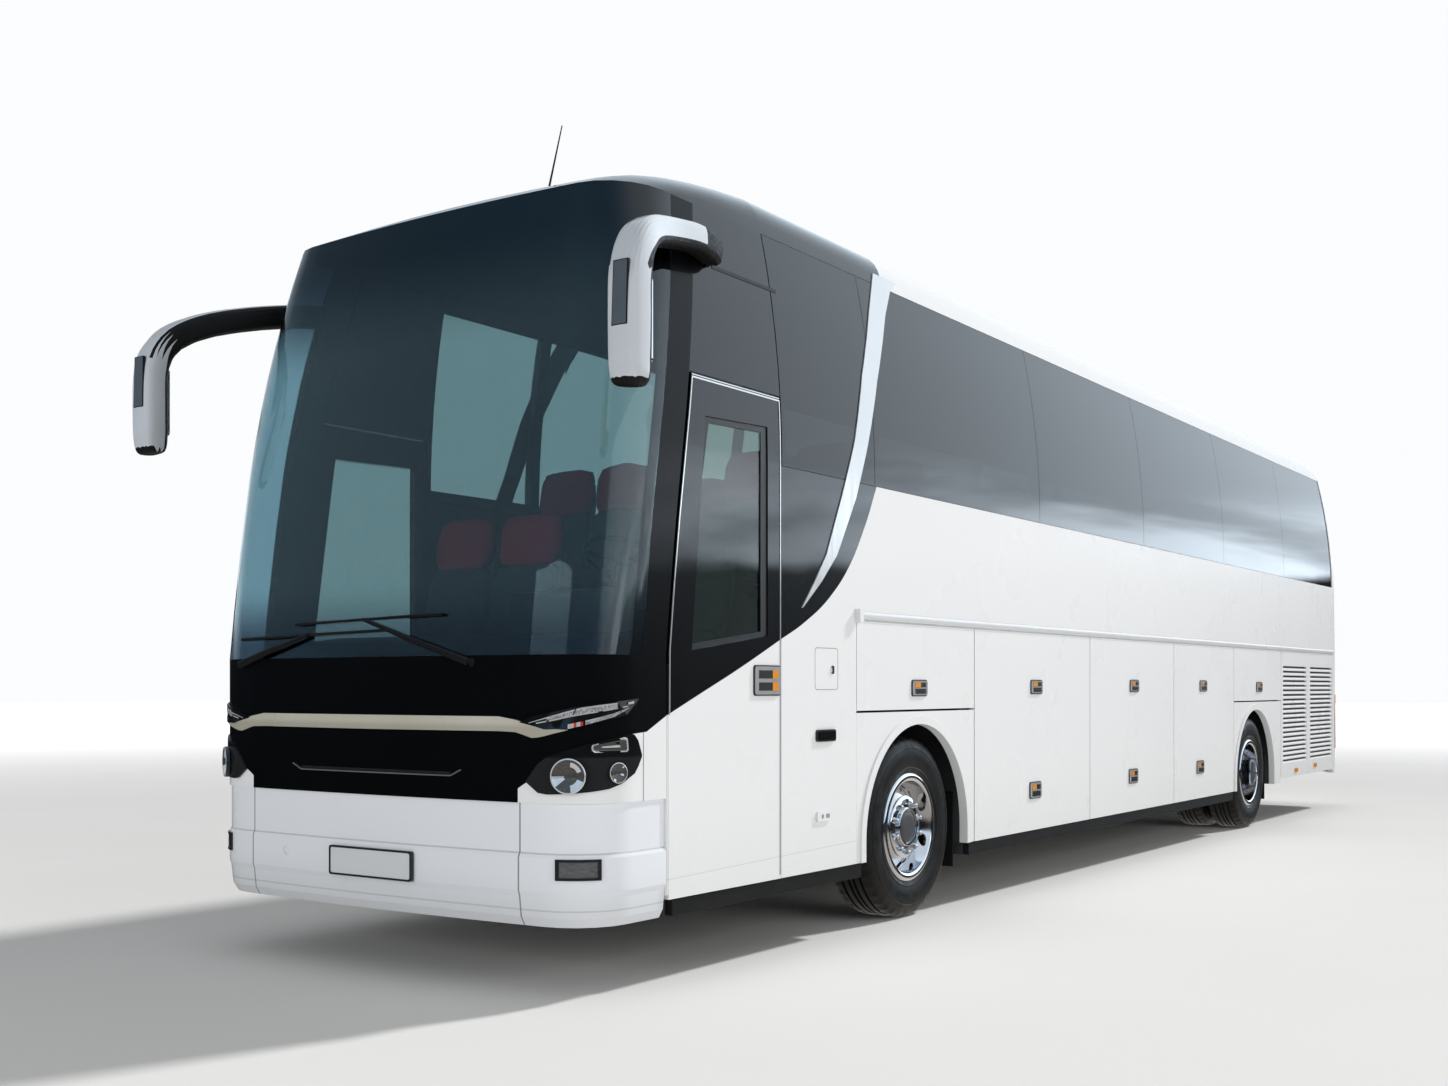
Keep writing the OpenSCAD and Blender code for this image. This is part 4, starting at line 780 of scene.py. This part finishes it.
# Header seams
# A dark rubber joint runs over each front door, between the header panel and the fixed panel above it.
# It is pressed into the gap.
joint = mottled("joint_rubber", (0.004, 0.004, 0.0045), (0.009, 0.009, 0.0095), 40.0, 0.5)


def side_at(side, back, z, proud=0.0):
    """A point over a side: metres behind the nose's foremost point, and height."""
    return Vector((side * (side_x(z) + proud), nose_y + back, z))


bm = bmesh.new()
for side in (1, -1):
    band(bm, partial(side_at, side), (1.03, 1.31, 1.59), 3.322, 3.34, -0.003, 0.002)
made("header_seams", tidied(bm), joint)


# Driver's door trim
# Thin bright lines edge the door, and its window sits in a black frame that is wider at the back.
# The handle is a chrome frame round two black recesses with amber reflectors.
driver_side = 1
door_at = partial(side_at, driver_side)
chrome = mottled("bright_chrome", (0.62, 0.63, 0.64), (0.72, 0.725, 0.73), 10.0, (0.06, 0.16, 40.0), 0.55)
amber, tree, shader = finish("amber_reflector", (0.75, 0.27, 0.015), 0.25)
painted(tree, shader, cloud(tree, 200.0, 1.0), (0.62, 0.20, 0.01), (0.85, 0.34, 0.03))
recess = mottled("recess_black", (0.006, 0.006, 0.007), (0.012, 0.012, 0.013), 30.0, 0.4)
fitting_finishes = [chrome, recess, amber]
heights = [1.21, 1.5, 1.8, 2.1, 2.44, 2.6, 2.7, 2.765]
front_edge = [seam_back + leaning(z) + 0.0215 for z in heights]
trim_wide, trim_proud = 0.007, 0.003
bm = bmesh.new()
ribbon(bm, door_at, list(zip(front_edge, heights)),
       [(back + trim_wide, z) for back, z in zip(front_edge, heights)], 0.0, trim_proud)
for low, high in ((2.758, 2.766), (2.771, 2.776)):
    band(bm, door_at, (front_edge[-1], 1.522), low, high, 0.0, trim_proud)
rear_edge = [[(back, z) for z in (0.40, *heights)] for back in (1.519, 1.526)]
ribbon(bm, door_at, *rear_edge, 0.0, trim_proud)
made("door_edge_trim", tidied(bm), chrome, "driver_door")

bm = bmesh.new()
outer_line = [(0.772, 1.508), (1.408, 1.589), (1.408, 2.10), (1.408, 2.44), (1.408, 2.613), (0.882, 2.592),
              (0.846, 2.3)]
inner_line = [(0.782, 1.533), (1.354, 1.606), (1.354, 2.10), (1.355, 2.44), (1.357, 2.582), (0.915, 2.566),
              (0.858, 2.3)]
ring(bm, door_at, outer_line, inner_line, -0.0115, -0.006)
made("door_window_frame", tidied(bm), black_trim, "driver_door")


def handle(bm, at, low, high, bars):
    """A chrome frame round black recesses; bars hold each one's foot, top and amber end, as shares."""
    width, tall = high[0] - low[0], high[1] - low[1]
    shade = 0.006
    # Painted shade: a black rim a little wider than the chrome frame
    slab(bm, at, rounded([c - shade for c in low], [c + shade for c in high], 0.014, 3), -0.002, shade, 1)
    slab(bm, at, rounded(low, high, 0.012, 3), 0.0, 0.012, 0)
    for foot, top, amber_from, amber_to in bars:
        a, b = low[1] + foot * tall, low[1] + top * tall
        for start, end, proud, index in ((0.12, 0.88, 0.0128, 1), (amber_from, amber_to, 0.0138, 2)):
            if end > start:
                c, d = low[0] + start * width, low[0] + end * width
                slab(bm, at, [(c, a), (d, a), (d, b), (c, b)], 0.0, proud, index)


bm = bmesh.new()
handle(bm, door_at, (1.285, 1.298), (1.512, 1.436), [(0.14, 0.43, 0.66, 0.88), (0.57, 0.86, 0.66, 0.88)])
made("door_handle", tidied(bm), fitting_finishes, "driver_door")


# Louvre gaps
# Dark sheets lie on the slopes under the slats of the side lids, as painted shade between the slats.
# They ride on the lids.
slat_rows, slat_low, slat_high, slat_deep = 21, 0.570, 1.560, 0.028
slat_x = 1.276
pitch = (slat_high - slat_low) / slat_rows
lid_low, lid_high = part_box("side_lid_left")
middle_y = (lid_low.y + lid_high.y) / 2
# Painted shade: dark sheets on the slopes under the slats
louvre_shade = mottled("louvre_painted_shade", (0.012, 0.012, 0.012), (0.035, 0.034, 0.033), 200.0, 0.6)
for word, side in (("left", 1), ("right", -1)):
    bm = bmesh.new()
    for row in range(slat_rows):
        foot = slat_low + row * pitch

        def slope_at(y, up, proud):
            """A point over the slope under a slat, up it from its outer edge."""
            return Vector((side * (slat_x - (slat_deep + 0.001) * up + proud), y, foot + 0.72 * pitch * up))

        for a, b in ((lid_low.y + 0.084, middle_y - 0.077), (middle_y + 0.077, lid_high.y - 0.053)):
            band(bm, slope_at, (a, b), 0.42, 0.96, -0.001, 0.001)
    made("louvre_gaps_" + word, tidied(bm), louvre_shade, "side_lid_" + word)


# Lid handles
# Each flap and luggage door is opened by a small chrome handle with a black grip and an amber reflector.
# They are riveted through the lids; the luggage doors have a second one low down.
handle_rows = [("flap_front", 3.016, 1.329), ("luggage_door", 4.709, 1.335), ("luggage_door", 6.599, 1.343),
               ("luggage_door", 8.314, 1.344), ("flap_rear", 10.041, 1.335)]
low_rows = [(4.692, 0.646), (6.577, 0.649), (8.231, 0.647)]
half_w, half_h = 0.088, 0.042
lid_bars = [(0.10, 0.45, 0, 0), (0.56, 0.88, 0.12, 0.5)]
for word, side in (("left", 1), ("right", -1)):
    door = 0
    for lid, back, z in handle_rows:
        body = lid + "_" + word
        spots = [(back, z, half_w, half_h)]
        if lid == "luggage_door":
            door += 1
            body += "_%d" % door
            spots.append((*low_rows[door - 1], half_w, half_h + 0.008))
        # The right side has no third luggage door
        if body not in nodes:
            continue
        bm = bmesh.new()
        for back, z, w, h in spots:
            handle(bm, partial(side_at, side), (back - w, z - h), (back + w, z + h), lid_bars)
        made(body + "_handles", tidied(bm), fitting_finishes, body)


# Side fittings
# Behind each front door are a flush hatch with a lock, a dark marker and small white boxes.
# Amber markers run along the lower edge towards the tail; all are clipped or screwed on.
def faced(at, towards):
    """The matrix that puts a turned shape at a point with its axis along a direction."""
    return Matrix.Translation(at) @ Vector(towards).to_track_quat("Z", "Y").to_matrix().to_4x4()


gap_grey = mottled("seam_shadow", (0.25, 0.255, 0.26), (0.33, 0.335, 0.34), 25.0, 0.6)
hatch_outer = rounded((1.856, 1.32), (2.091, 1.54), 0.02)
hatch_inner = rounded((1.8595, 1.3235), (2.0875, 1.5365), 0.018)
lock = [(0.0, 0.006), (0.013, 0.006), (0.0155, 0.003), (0.0155, 0.0), (0.0, -0.001)]
# Flat fittings: two corners, corner radius and steps, inner and outer height, finish
flat_rows = [((2.022, 1.404), (2.042, 1.446), 0.008, 3, 0.0, 0.0075, 1),
             ((1.862, 1.051), (2.053, 1.113), 0.014, 3, 0.0, 0.012, 1),
             ((1.874, 1.059), (2.041, 1.105), 0.010, 3, 0.0, 0.017, 0),
             ((1.866, 0.637), (2.008, 0.689), 0.008, 3, 0.0, 0.012, 3),
             ((1.905, 0.652), (1.925, 0.674), 0.004, 2, 0.0, 0.0128, 2),
             ((1.950, 0.652), (1.985, 0.674), 0.004, 2, 0.0, 0.0128, 2),
             ((2.272, 1.682), (2.312, 1.757), 0.004, 2, -0.001, 0.034, 3)]
for back, z in ((11.4, 0.48), (12.18, 0.50)):
    flat_rows.append(((back - 0.055, z - 0.02), (back + 0.055, z + 0.02), 0.012, 3, -0.001, 0.010, 4))
bm = bmesh.new()
for side in (1, -1):
    wall_at = partial(side_at, side)
    ring(bm, wall_at, hatch_outer, hatch_inner, -0.001, 0.0006, 2)
    lathe(bm, lock, 20, faced(wall_at(2.03, 1.424, 0), (side, 0, 0)), 3)
    for low, high, radius, steps, inner, outer, index in flat_rows:
        slab(bm, wall_at, rounded(low, high, radius, steps), inner, outer, index)
made("side_fittings", tidied(bm), [smoked, recess, gap_grey, white_paint, amber])


# Rubber skirts
# Black rubber strips hang below the panels between the wheels, with mudflaps behind each axle.
# They are clamped along their top edges.
rubber, tree, shader = finish("black_rubber", (0.009, 0.009, 0.009), 0.6)
shader.inputs["Specular IOR Level"].default_value = 0.2
painted(tree, shader, cloud(tree, 8.0), (0.007, 0.007, 0.007), (0.014, 0.0135, 0.013))
raised(tree, shader, cloud(tree, 500.0), 0.0003)
dressed("rubber_skirts", rubber, 0.006)


# Tyres
# Road tyres with ribbed sidewalls, four grooves round the tread and notched shoulders.
# They are mounted on the rims by their beads.
tread, tree, shader = finish("tyre_rubber", (0.012, 0.012, 0.012), 0.45)
shader.inputs["Specular IOR Level"].default_value = 0.3
scuff = between(tree, cloud(tree, 7.0, 4.0), 0.45, 0.75, 0.0, 0.6)
painted(tree, shader, scuff, (0.007, 0.007, 0.007), (0.014, 0.0135, 0.013))
uneven(tree, shader, cloud(tree, 20.0), 0.30, 0.5)
raised(tree, shader, cloud(tree, 300.0), 0.0002)
wheel_x, axle_z, inner_wheel_x = 1.0825, 0.5225, 0.7475
axle_y = {"front": nose_y + 3.010, "rear": nose_y + 9.920}
wall = [(0.2868, 0.1225), (0.300, 0.128), (0.315, 0.130), (0.326, 0.1345), (0.338, 0.1375), (0.341, 0.1405),
        (0.346, 0.1405), (0.349, 0.139), (0.380, 0.1455), (0.404, 0.1475), (0.430, 0.147), (0.448, 0.145),
        (0.4505, 0.1468), (0.4555, 0.1462), (0.458, 0.1435), (0.4665, 0.1425), (0.496, 0.131)]
shoulder = [(0.512, 0.122), (0.5195, 0.105), (0.5215, 0.0915)]
grooves = [(0.5225, 0.069), (0.510, 0.066), (0.510, 0.056), (0.5225, 0.053),
           (0.5225, 0.024), (0.510, 0.021), (0.510, 0.011), (0.5225, 0.008)]
half_profile = wall + shoulder + grooves
tyre_profile = half_profile + [(r, -x) for r, x in reversed(half_profile)]
notched = [len(wall) + k for k in range(len(shoulder))]
notched += [len(tyre_profile) - 1 - k for k in notched]
around = 132
notch_share = 0.984


def on_axle(side, x, y):
    """The matrix that faces a turned shape outwards, x metres from the coach's middle on the axle at y."""
    return faced(Vector((side * x, y, axle_z)), (side, 0, 0))


def creased(bm, turn):
    """Turns every face outwards and makes edges sharp past turn degrees."""
    bmesh.ops.recalc_face_normals(bm, faces=bm.faces)
    for line in bm.edges:
        line.smooth = line.calc_face_angle(pi) < radians(turn)
    return bm


def tyre(bm, x, y, side):
    """One tyre, its shoulders notched at every third step."""
    first = len(bm.verts)
    lathe(bm, tyre_profile, around, on_axle(side, x, y), closed=True)
    bm.verts.ensure_lookup_table()
    middle = Vector((y, axle_z))
    for ring_index in notched:
        for k in range(0, around, 3):
            vert = bm.verts[first + ring_index * around + k]
            vert.co.yz = middle + (vert.co.yz - middle) * notch_share


for word, side in (("left", 1), ("right", -1)):
    for node, places, y in (("tyre_front_" + word, [wheel_x], axle_y["front"]),
                            ("tyres_rear_" + word, [wheel_x, inner_wheel_x], axle_y["rear"])):
        bm = bmesh.new()
        for x in places:
            tyre(bm, x, y, side)
        piece = made(node + "_treaded", creased(bm, 35), tread, body_of[node])
        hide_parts(node)


# Wheels
# Chromed steel discs with round hand holes, ten bright nuts and a turned hub ring with a dark cap.
# The rear ones are deep-dished twins on a long hub.
wheel_chrome = mottled("chromed_wheel", (0.74, 0.74, 0.76), (0.82, 0.82, 0.84), 5.0, (0.05, 0.14, 12.0), 1.0)
cap_grey = mottled("hub_cap_grey", (0.045, 0.047, 0.05), (0.065, 0.067, 0.07), 30.0, 0.4)
nut = [(0.0, 0.031), (0.008, 0.030), (0.0135, 0.025), (0.0145, 0.003), (0.020, 0.002), (0.020, -0.001),
       (0.0, -0.001)]
nut_count = 10
hub_ring = [(0.094, 0.0), (0.097, 0.008), (0.107, 0.009), (0.1125, 0.004), (0.1125, -0.0135),
            (0.094, -0.001)]
hub_cap = [(0.0, 0.009), (0.06, 0.0085), (0.084, 0.006), (0.092, 0.001), (0.092, -0.001), (0.0, -0.001)]
nut_ring = [(0.113, 0.0), (0.114, 0.005), (0.172, 0.005), (0.181, 0.0), (0.181, -0.008), (0.113, -0.001)]
rim_edge = [(0.2685, 0.128), (0.269, 0.135), (0.275, 0.1395), (0.288, 0.1418), (0.301, 0.141),
            (0.310, 0.138), (0.3145, 0.133), (0.312, 0.128)]
front_circle = 0.148
# Each wheel's rows: axle, where the nuts sit along it, their circle, where the hub ends, hub size
wheel_rows = [("front", 0.106, front_circle, 0.120, 1.0), ("rear", -0.1515, 0.166, 0.020, 1.14)]
for word, side in (("left", 1), ("right", -1)):
    for axle, nut_at, circle, hub_at, size in wheel_rows:
        node = "wheel_%s_%s" % (axle, word)
        dressed(node, wheel_chrome)
        nut_seat, disc, hub = [on_axle(side, wheel_x + out, axle_y[axle]) for out in (nut_at, 0.0, hub_at)]
        bm = bmesh.new()
        for k in range(nut_count):
            turn = Matrix.Rotation(2 * pi * (k + 0.5) / nut_count, 4, "Z")
            lathe(bm, nut, 8, nut_seat @ turn @ Matrix.Translation((circle, 0, 0.004)))
        lathe(bm, [(r * (circle / front_circle), h) for r, h in nut_ring], 48, nut_seat, closed=True)
        lathe(bm, rim_edge, 72, disc, closed=True)
        lathe(bm, [(r * size, h) for r, h in hub_ring], 48, hub, closed=True)
        lathe(bm, [(r * size, h) for r, h in hub_cap], 40, hub, 1)
        made(node + "_nuts", creased(bm, 40), [wheel_chrome, cap_grey], body_of[node])


# Seats
# Rows of seats in dark cloth with red head parts, over foam, on steel pedestals bolted to the floor.
# The driver's seat and two tip-up seats stand on the platform in front.
cloth, tree, shader = finish("red_seat_cloth", (0.3, 0.02, 0.035), 0.85)
painted(tree, shader, cloud(tree, 420.0), (0.55, 0.012, 0.03), (0.75, 0.025, 0.05))
raised(tree, shader, cloud(tree, 700.0), 0.0006)
seat_back = mottled("seat_back_plastic", (0.026, 0.026, 0.029), (0.038, 0.038, 0.042), 12.0, 0.55)
driver_cloth, tree, shader = finish("dark_seat_cloth", (0.03, 0.033, 0.038), 0.9)
painted(tree, shader, cloud(tree, 420.0), (0.022, 0.025, 0.03), (0.045, 0.05, 0.056))
raised(tree, shader, cloud(tree, 700.0), 0.0006)
pad_steps, pad_power = 4, 5.0


def pad(bm, where, index):
    """A puffed block: points of a cube's skin drawn in at its corners, each put in place by where."""
    found = {}

    def vert(c):
        """The shared vertex for one point of the cube's skin."""
        if c not in found:
            u = [2 * k / pad_steps - 1 for k in c]
            size = sum(abs(k) ** pad_power for k in u) ** (1 / pad_power)
            found[c] = bm.verts.new(where([k / size for k in u]))
        return found[c]

    for axis in range(3):
        for end in (0, pad_steps):
            for i in range(pad_steps):
                for j in range(pad_steps):
                    corners = []
                    for a, b in ((i, j), (i + 1, j), (i + 1, j + 1), (i, j + 1)):
                        c = [a, b]
                        c.insert(axis, end)
                        corners.append(vert(tuple(c)))
                    face = bm.faces.new(corners)
                    face.smooth = True
                    face.material_index = index


def seat(bm, x, back, floor, width, deep, cover):
    """One seat: cushion, back, head part and the plastic shell behind."""
    y = nose_y + back
    half = width / 2 - 0.004

    def cushion(u):
        """A point of the cushion."""
        return (x + half * u[0], y - deep / 2 + 0.02 + (deep / 2 + 0.02) * u[1], floor + 0.435 + 0.052 * u[2])

    pad(bm, cushion, 2)
    # Back, head part and shell: foot, top, share of the width, half thickness, finish and set-back
    for low, high, wide, thick, index, set_back in ((0.44, 0.88, 1.0, 0.046, 2, 0.05),
                                                    (0.86, 1.155, 0.9, 0.05, cover, 0.05),
                                                    (0.42, 1.10, 0.96, 0.02, 1, 0.092)):
        middle, tall = (low + high) / 2, (high - low) / 2

        def leaned(u):
            """A point of the back, leaned with it."""
            up = middle + tall * u[2]
            lean = 0.13 * (up - 0.45) / 0.68
            return (x + wide * half * u[0], y + set_back - 0.01 + lean + thick * u[1], floor + up)

        pad(bm, leaned, index)


bm = bmesh.new()
legs = bmesh.new()
driver_x = 0.62
row_first, row_pitch, row_count = 2.350, 0.780, 14
# Seats: x, metres behind the nose, floor height, width, depth and the head part's finish
rows = [(s * x, row_first + row_pitch * i, 1.55, 0.46, 0.43, 0)
        for i in range(row_count) for s in (1, -1) for x in (0.48, 0.948)]
rows += [(driver_x, 1.58, 1.15, 0.50, 0.43, 2), (-0.4, 1.40, 1.15, 0.46, 0.09, 0),
         (-0.9, 1.40, 1.15, 0.46, 0.09, 0)]
for x, back, floor, width, deep, cover in rows:
    seat(bm, x, back, floor, width, deep, cover)
    middle = Matrix.Translation((x, nose_y + back - 0.35 * deep, floor + 0.2))
    bmesh.ops.create_cube(legs, size=1.0, matrix=middle @ Matrix.Diagonal((0.08, 0.7 * deep, 0.39, 1)))
bmesh.ops.recalc_face_normals(bm, faces=bm.faces)
seat_piece = made("seat_cushions", bm, [cloth, seat_back, driver_cloth])
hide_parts("seats")
made("seat_pedestals", legs, frame_paint)


# Dashboard and steering wheel
# A moulded dashboard in dark grained plastic with a hooded instrument binnacle and a screen.
# The steering wheel is foam over steel, on a raked column.
dressed("dashboard", plastic, 0.012)
dressed("steering_wheel", plastic, turn=50)
screen_dark = mottled("instrument_glass", (0.008, 0.011, 0.014), (0.02, 0.03, 0.036), 60.0, 0.08)


def binnacle_at(x, along, proud):
    """A point over the binnacle's sloping rear face, along it from its foot."""
    foot, head = Vector((0.83, 1.56)), Vector((0.80, 1.81))
    point = foot.lerp(head, along)
    return Vector((driver_x + x, nose_y + point.x + proud, point.y))


bm = bmesh.new()
slab(bm, binnacle_at, rounded((-0.26, 0.25), (0.26, 0.9), 0.03), -0.002, 0.004)
made("instrument_cluster", tidied(bm), screen_dark)


# Towing socket cap
# A flush white plastic cap closes the threaded socket in the bumper.
# It is pushed in by hand.
bm = bmesh.new()
socket_x, socket_z = -0.62, 0.54
socket_t = socket_x / (front_r * radians(corner_turn))
lathe(bm, [(0.0, 0.0015), (0.018, 0.001), (0.0198, -0.001), (0.0198, -0.012), (0.0, -0.012)], 32,
      faced(nose_at(socket_t, socket_z, 0.0), nose_out(socket_t, socket_z)))
made("towing_cap", tidied(bm), bumper_paint)


# Tail
# The engine lid has a row of dark air slots and a grip; a high brake lamp sits under the rear window.
# All are moulded plastic, screwed to the panels.
tail_y, tail_r = nose_y + 13.34, 12.0


def tail_at(x, z, proud):
    """A point over the tail, between its corners."""
    bow = tail_r - (tail_r ** 2 - x ** 2) ** 0.5
    return Vector((x, tail_y - bow + proud - 0.03 * max(0.0, z - 1.745), z))


bm = bmesh.new()
columns = [k * 0.1 for k in range(-6, 7)]
slot_count, slot_low, slot_pitch, slot_tall = 7, 1.12, 0.055, 0.026
for k in range(slot_count):
    low = slot_low + slot_pitch * k
    band(bm, tail_at, columns, low, low + slot_tall, -0.012, -0.002)
band(bm, tail_at, columns[4:9], 0.66, 0.70, -0.012, 0.006)
made("engine_lid_slots", tidied(bm), black_trim, "engine_lid")
bm = bmesh.new()
band(bm, tail_at, columns[3:10], 2.36, 2.39, -0.005, 0.012)
made("high_brake_lamp", tidied(bm), tail_red)


# Floor, light and camera
# A pale studio floor under soft light from the driver's side and the front, and a veiled sun from behind.
# What shines reflects a soft sky over a dark, low horizon.
floor_half = 120
fade_from, fade_to = 9.0, 45.0
backdrop_white = (0.97, 0.98, 0.99, 1)


def on_show(tree, seen):
    """1 for rays that come straight from the camera or from it through glass, else 0."""
    straight = reckon(tree, "LESS_THAN", seen.outputs["Diffuse Depth"], 0.5)
    through = reckon(tree, "MULTIPLY", seen.outputs["Is Transmission Ray"], straight)
    return reckon(tree, "MAXIMUM", seen.outputs["Is Camera Ray"], through)


floor = bpy.data.meshes.new("studio_floor")
bm = bmesh.new()
bmesh.ops.create_grid(bm, x_segments=1, y_segments=1, size=floor_half)
bm.to_mesh(floor)
bm.free()
floor_object = bpy.data.objects.new("studio_floor", floor)
bpy.context.scene.collection.objects.link(floor_object)
floor_object.visible_glossy = False
concrete, tree, shader = finish("pale_floor", (0.66, 0.645, 0.62), 0.8)
painted(tree, shader, cloud(tree, 0.5), (0.81, 0.795, 0.765), (0.85, 0.838, 0.815))
shader.inputs["Specular IOR Level"].default_value = 0.1
xyz = place(tree)
squares = [reckon(tree, "POWER", xyz[axis], 2.0) for axis in ("X", "Y")]
reach = reckon(tree, "SQRT", reckon(tree, "ADD", *squares), 0.0)
shader.inputs["Emission Color"].default_value = backdrop_white
watched = on_show(tree, tree.nodes.new("ShaderNodeLightPath"))
fade = between(tree, reach, fade_from, fade_to, 0.0, 0.75)
tree.links.new(reckon(tree, "MULTIPLY", watched, fade), shader.inputs["Emission Strength"])
concrete.cycles.emission_sampling = "NONE"
floor.materials.append(concrete)

world = bpy.data.worlds.new("overcast")
bpy.context.scene.world = world
world.use_nodes = True
tree = world.node_tree
sky = tree.nodes["Background"]
sky.inputs["Color"].default_value = (0.93, 0.96, 1.0, 1)
sky.inputs["Strength"].default_value = 0.34
backdrop = tree.nodes.new("ShaderNodeBackground")
backdrop.inputs["Color"].default_value = backdrop_white
backdrop.inputs["Strength"].default_value = 1.0
shine = tree.nodes.new("ShaderNodeBackground")
seen = tree.nodes.new("ShaderNodeLightPath")
gaze = tree.nodes.new("ShaderNodeNewGeometry")
split = tree.nodes.new("ShaderNodeSeparateXYZ")
tree.links.new(gaze.outputs["Incoming"], split.inputs[0])
height = reckon(tree, "MULTIPLY", split.outputs["Z"], -1.0)
mist = tree.nodes.new("ShaderNodeMapping")
mist.inputs["Scale"].default_value = (1, 1, 3)
tree.links.new(gaze.outputs["Incoming"], mist.inputs["Vector"])
banks = tree.nodes.new("ShaderNodeTexNoise")
banks.inputs["Scale"].default_value = 4.0
banks.inputs["Detail"].default_value = 4.0
tree.links.new(mist.outputs["Vector"], banks.inputs["Vector"])
# The horizon is the top of low dark hills; bright cloud lies on it, and the sky greys upwards
ridge = reckon(tree, "ADD", height, between(tree, banks.outputs["Fac"], 0.3, 0.7, -0.012, 0.012))
high_sky = between(tree, height, 0.12, 0.5, 1.0, 0.95)
cloud_light = reckon(tree, "MULTIPLY", between(tree, banks.outputs["Fac"], 0.42, 0.62, 0.0, 1.5),
                     between(tree, height, 0.09, 0.20, 1.0, 0.0))
sky_light = reckon(tree, "ADD", high_sky, cloud_light)
above_ridge = reckon(tree, "MULTIPLY", sky_light, between(tree, ridge, 0.072, 0.085, 0.0, 1.0))
ground = between(tree, height, -0.30, -0.10, 0.62, 0.02)
# Ahead of the coach the sky is bluer and dimmer, so that its black front stays dark; behind, it is brighter
along = split.outputs["Y"]
across = between(tree, split.outputs["X"], 0.3, 0.8, 1.0, 0.45)
dimmer = reckon(tree, "MULTIPLY", between(tree, along, -0.1, 0.6, 1.0, 0.6),
                between(tree, along, -0.95, -0.4, 1.6, 1.0))
glow = reckon(tree, "MULTIPLY", reckon(tree, "ADD", above_ridge, ground),
              reckon(tree, "MULTIPLY", dimmer, across))
tint = blended(tree, between(tree, along, -0.2, 0.6, 0.0, 1.0), (0.82, 0.94, 1.05), (0.30, 0.62, 0.96))
tree.links.new(blended(tree, between(tree, height, -0.08, -0.02, 1.0, 0.0), tint, (0.72, 0.68, 0.62)),
               shine.inputs["Color"])
tree.links.new(glow, shine.inputs["Strength"])
reflected = tree.nodes.new("ShaderNodeMixShader")
tree.links.new(seen.outputs["Is Glossy Ray"], reflected.inputs["Fac"])
tree.links.new(sky.outputs[0], reflected.inputs[1])
tree.links.new(shine.outputs[0], reflected.inputs[2])
choice = tree.nodes.new("ShaderNodeMixShader")
tree.links.new(on_show(tree, seen), choice.inputs["Fac"])
tree.links.new(reflected.outputs[0], choice.inputs[1])
tree.links.new(backdrop.outputs[0], choice.inputs[2])
tree.links.new(choice.outputs[0], tree.nodes["World Output"].inputs["Surface"])
world.cycles.sampling_method = "NONE"


def hung(lamp, at, along):
    """Puts a lamp at a point, turned along a direction and left out of reflections."""
    holder = bpy.data.objects.new(lamp.name, lamp)
    holder.location = at
    holder.rotation_euler = Vector(along).to_track_quat("-Z", "Y").to_euler()
    holder.visible_glossy = False
    bpy.context.scene.collection.objects.link(holder)


def softbox(name, at, towards, size, power):
    """A large area lamp turned towards a point."""
    lamp = bpy.data.lights.new(name, "AREA")
    lamp.shape = "RECTANGLE"
    lamp.size, lamp.size_y = size
    lamp.energy = power
    hung(lamp, at, Vector(towards) - Vector(at))


softbox("side_sky", (16, -3, 4.5), (0, -3, 1.2), (18, 7), 820)
softbox("front_sky", (-1, -20, 3.6), (0, -6, 2.2), (12, 5), 650)
veiled_sun = bpy.data.lights.new("veiled_sun", "SUN")
veiled_sun.energy = 2.5
veiled_sun.angle = radians(5)
hung(veiled_sun, (0, 0, 0), (-0.31, -1.0, -0.82))

# The lens and place come from the photograph's two vanishing points and the coach's width
photo_w, photo_h = 1448, 1086
focal_px = 1530
horizon_px = 687
camera = bpy.data.cameras.new("photo_camera")
camera.sensor_width = 36
camera.lens = focal_px / photo_w * camera.sensor_width
camera.shift_y = (horizon_px - photo_h / 2) / photo_w
camera.clip_end = 400
camera_object = bpy.data.objects.new("photo_camera", camera)
camera_object.location = (5.378, seam_y - 5.488, 1.335)
camera_object.rotation_euler = (radians(90), 0, radians(34.61))
bpy.context.scene.collection.objects.link(camera_object)
bpy.context.scene.camera = camera_object
bpy.context.scene.view_settings.view_transform = "Standard"
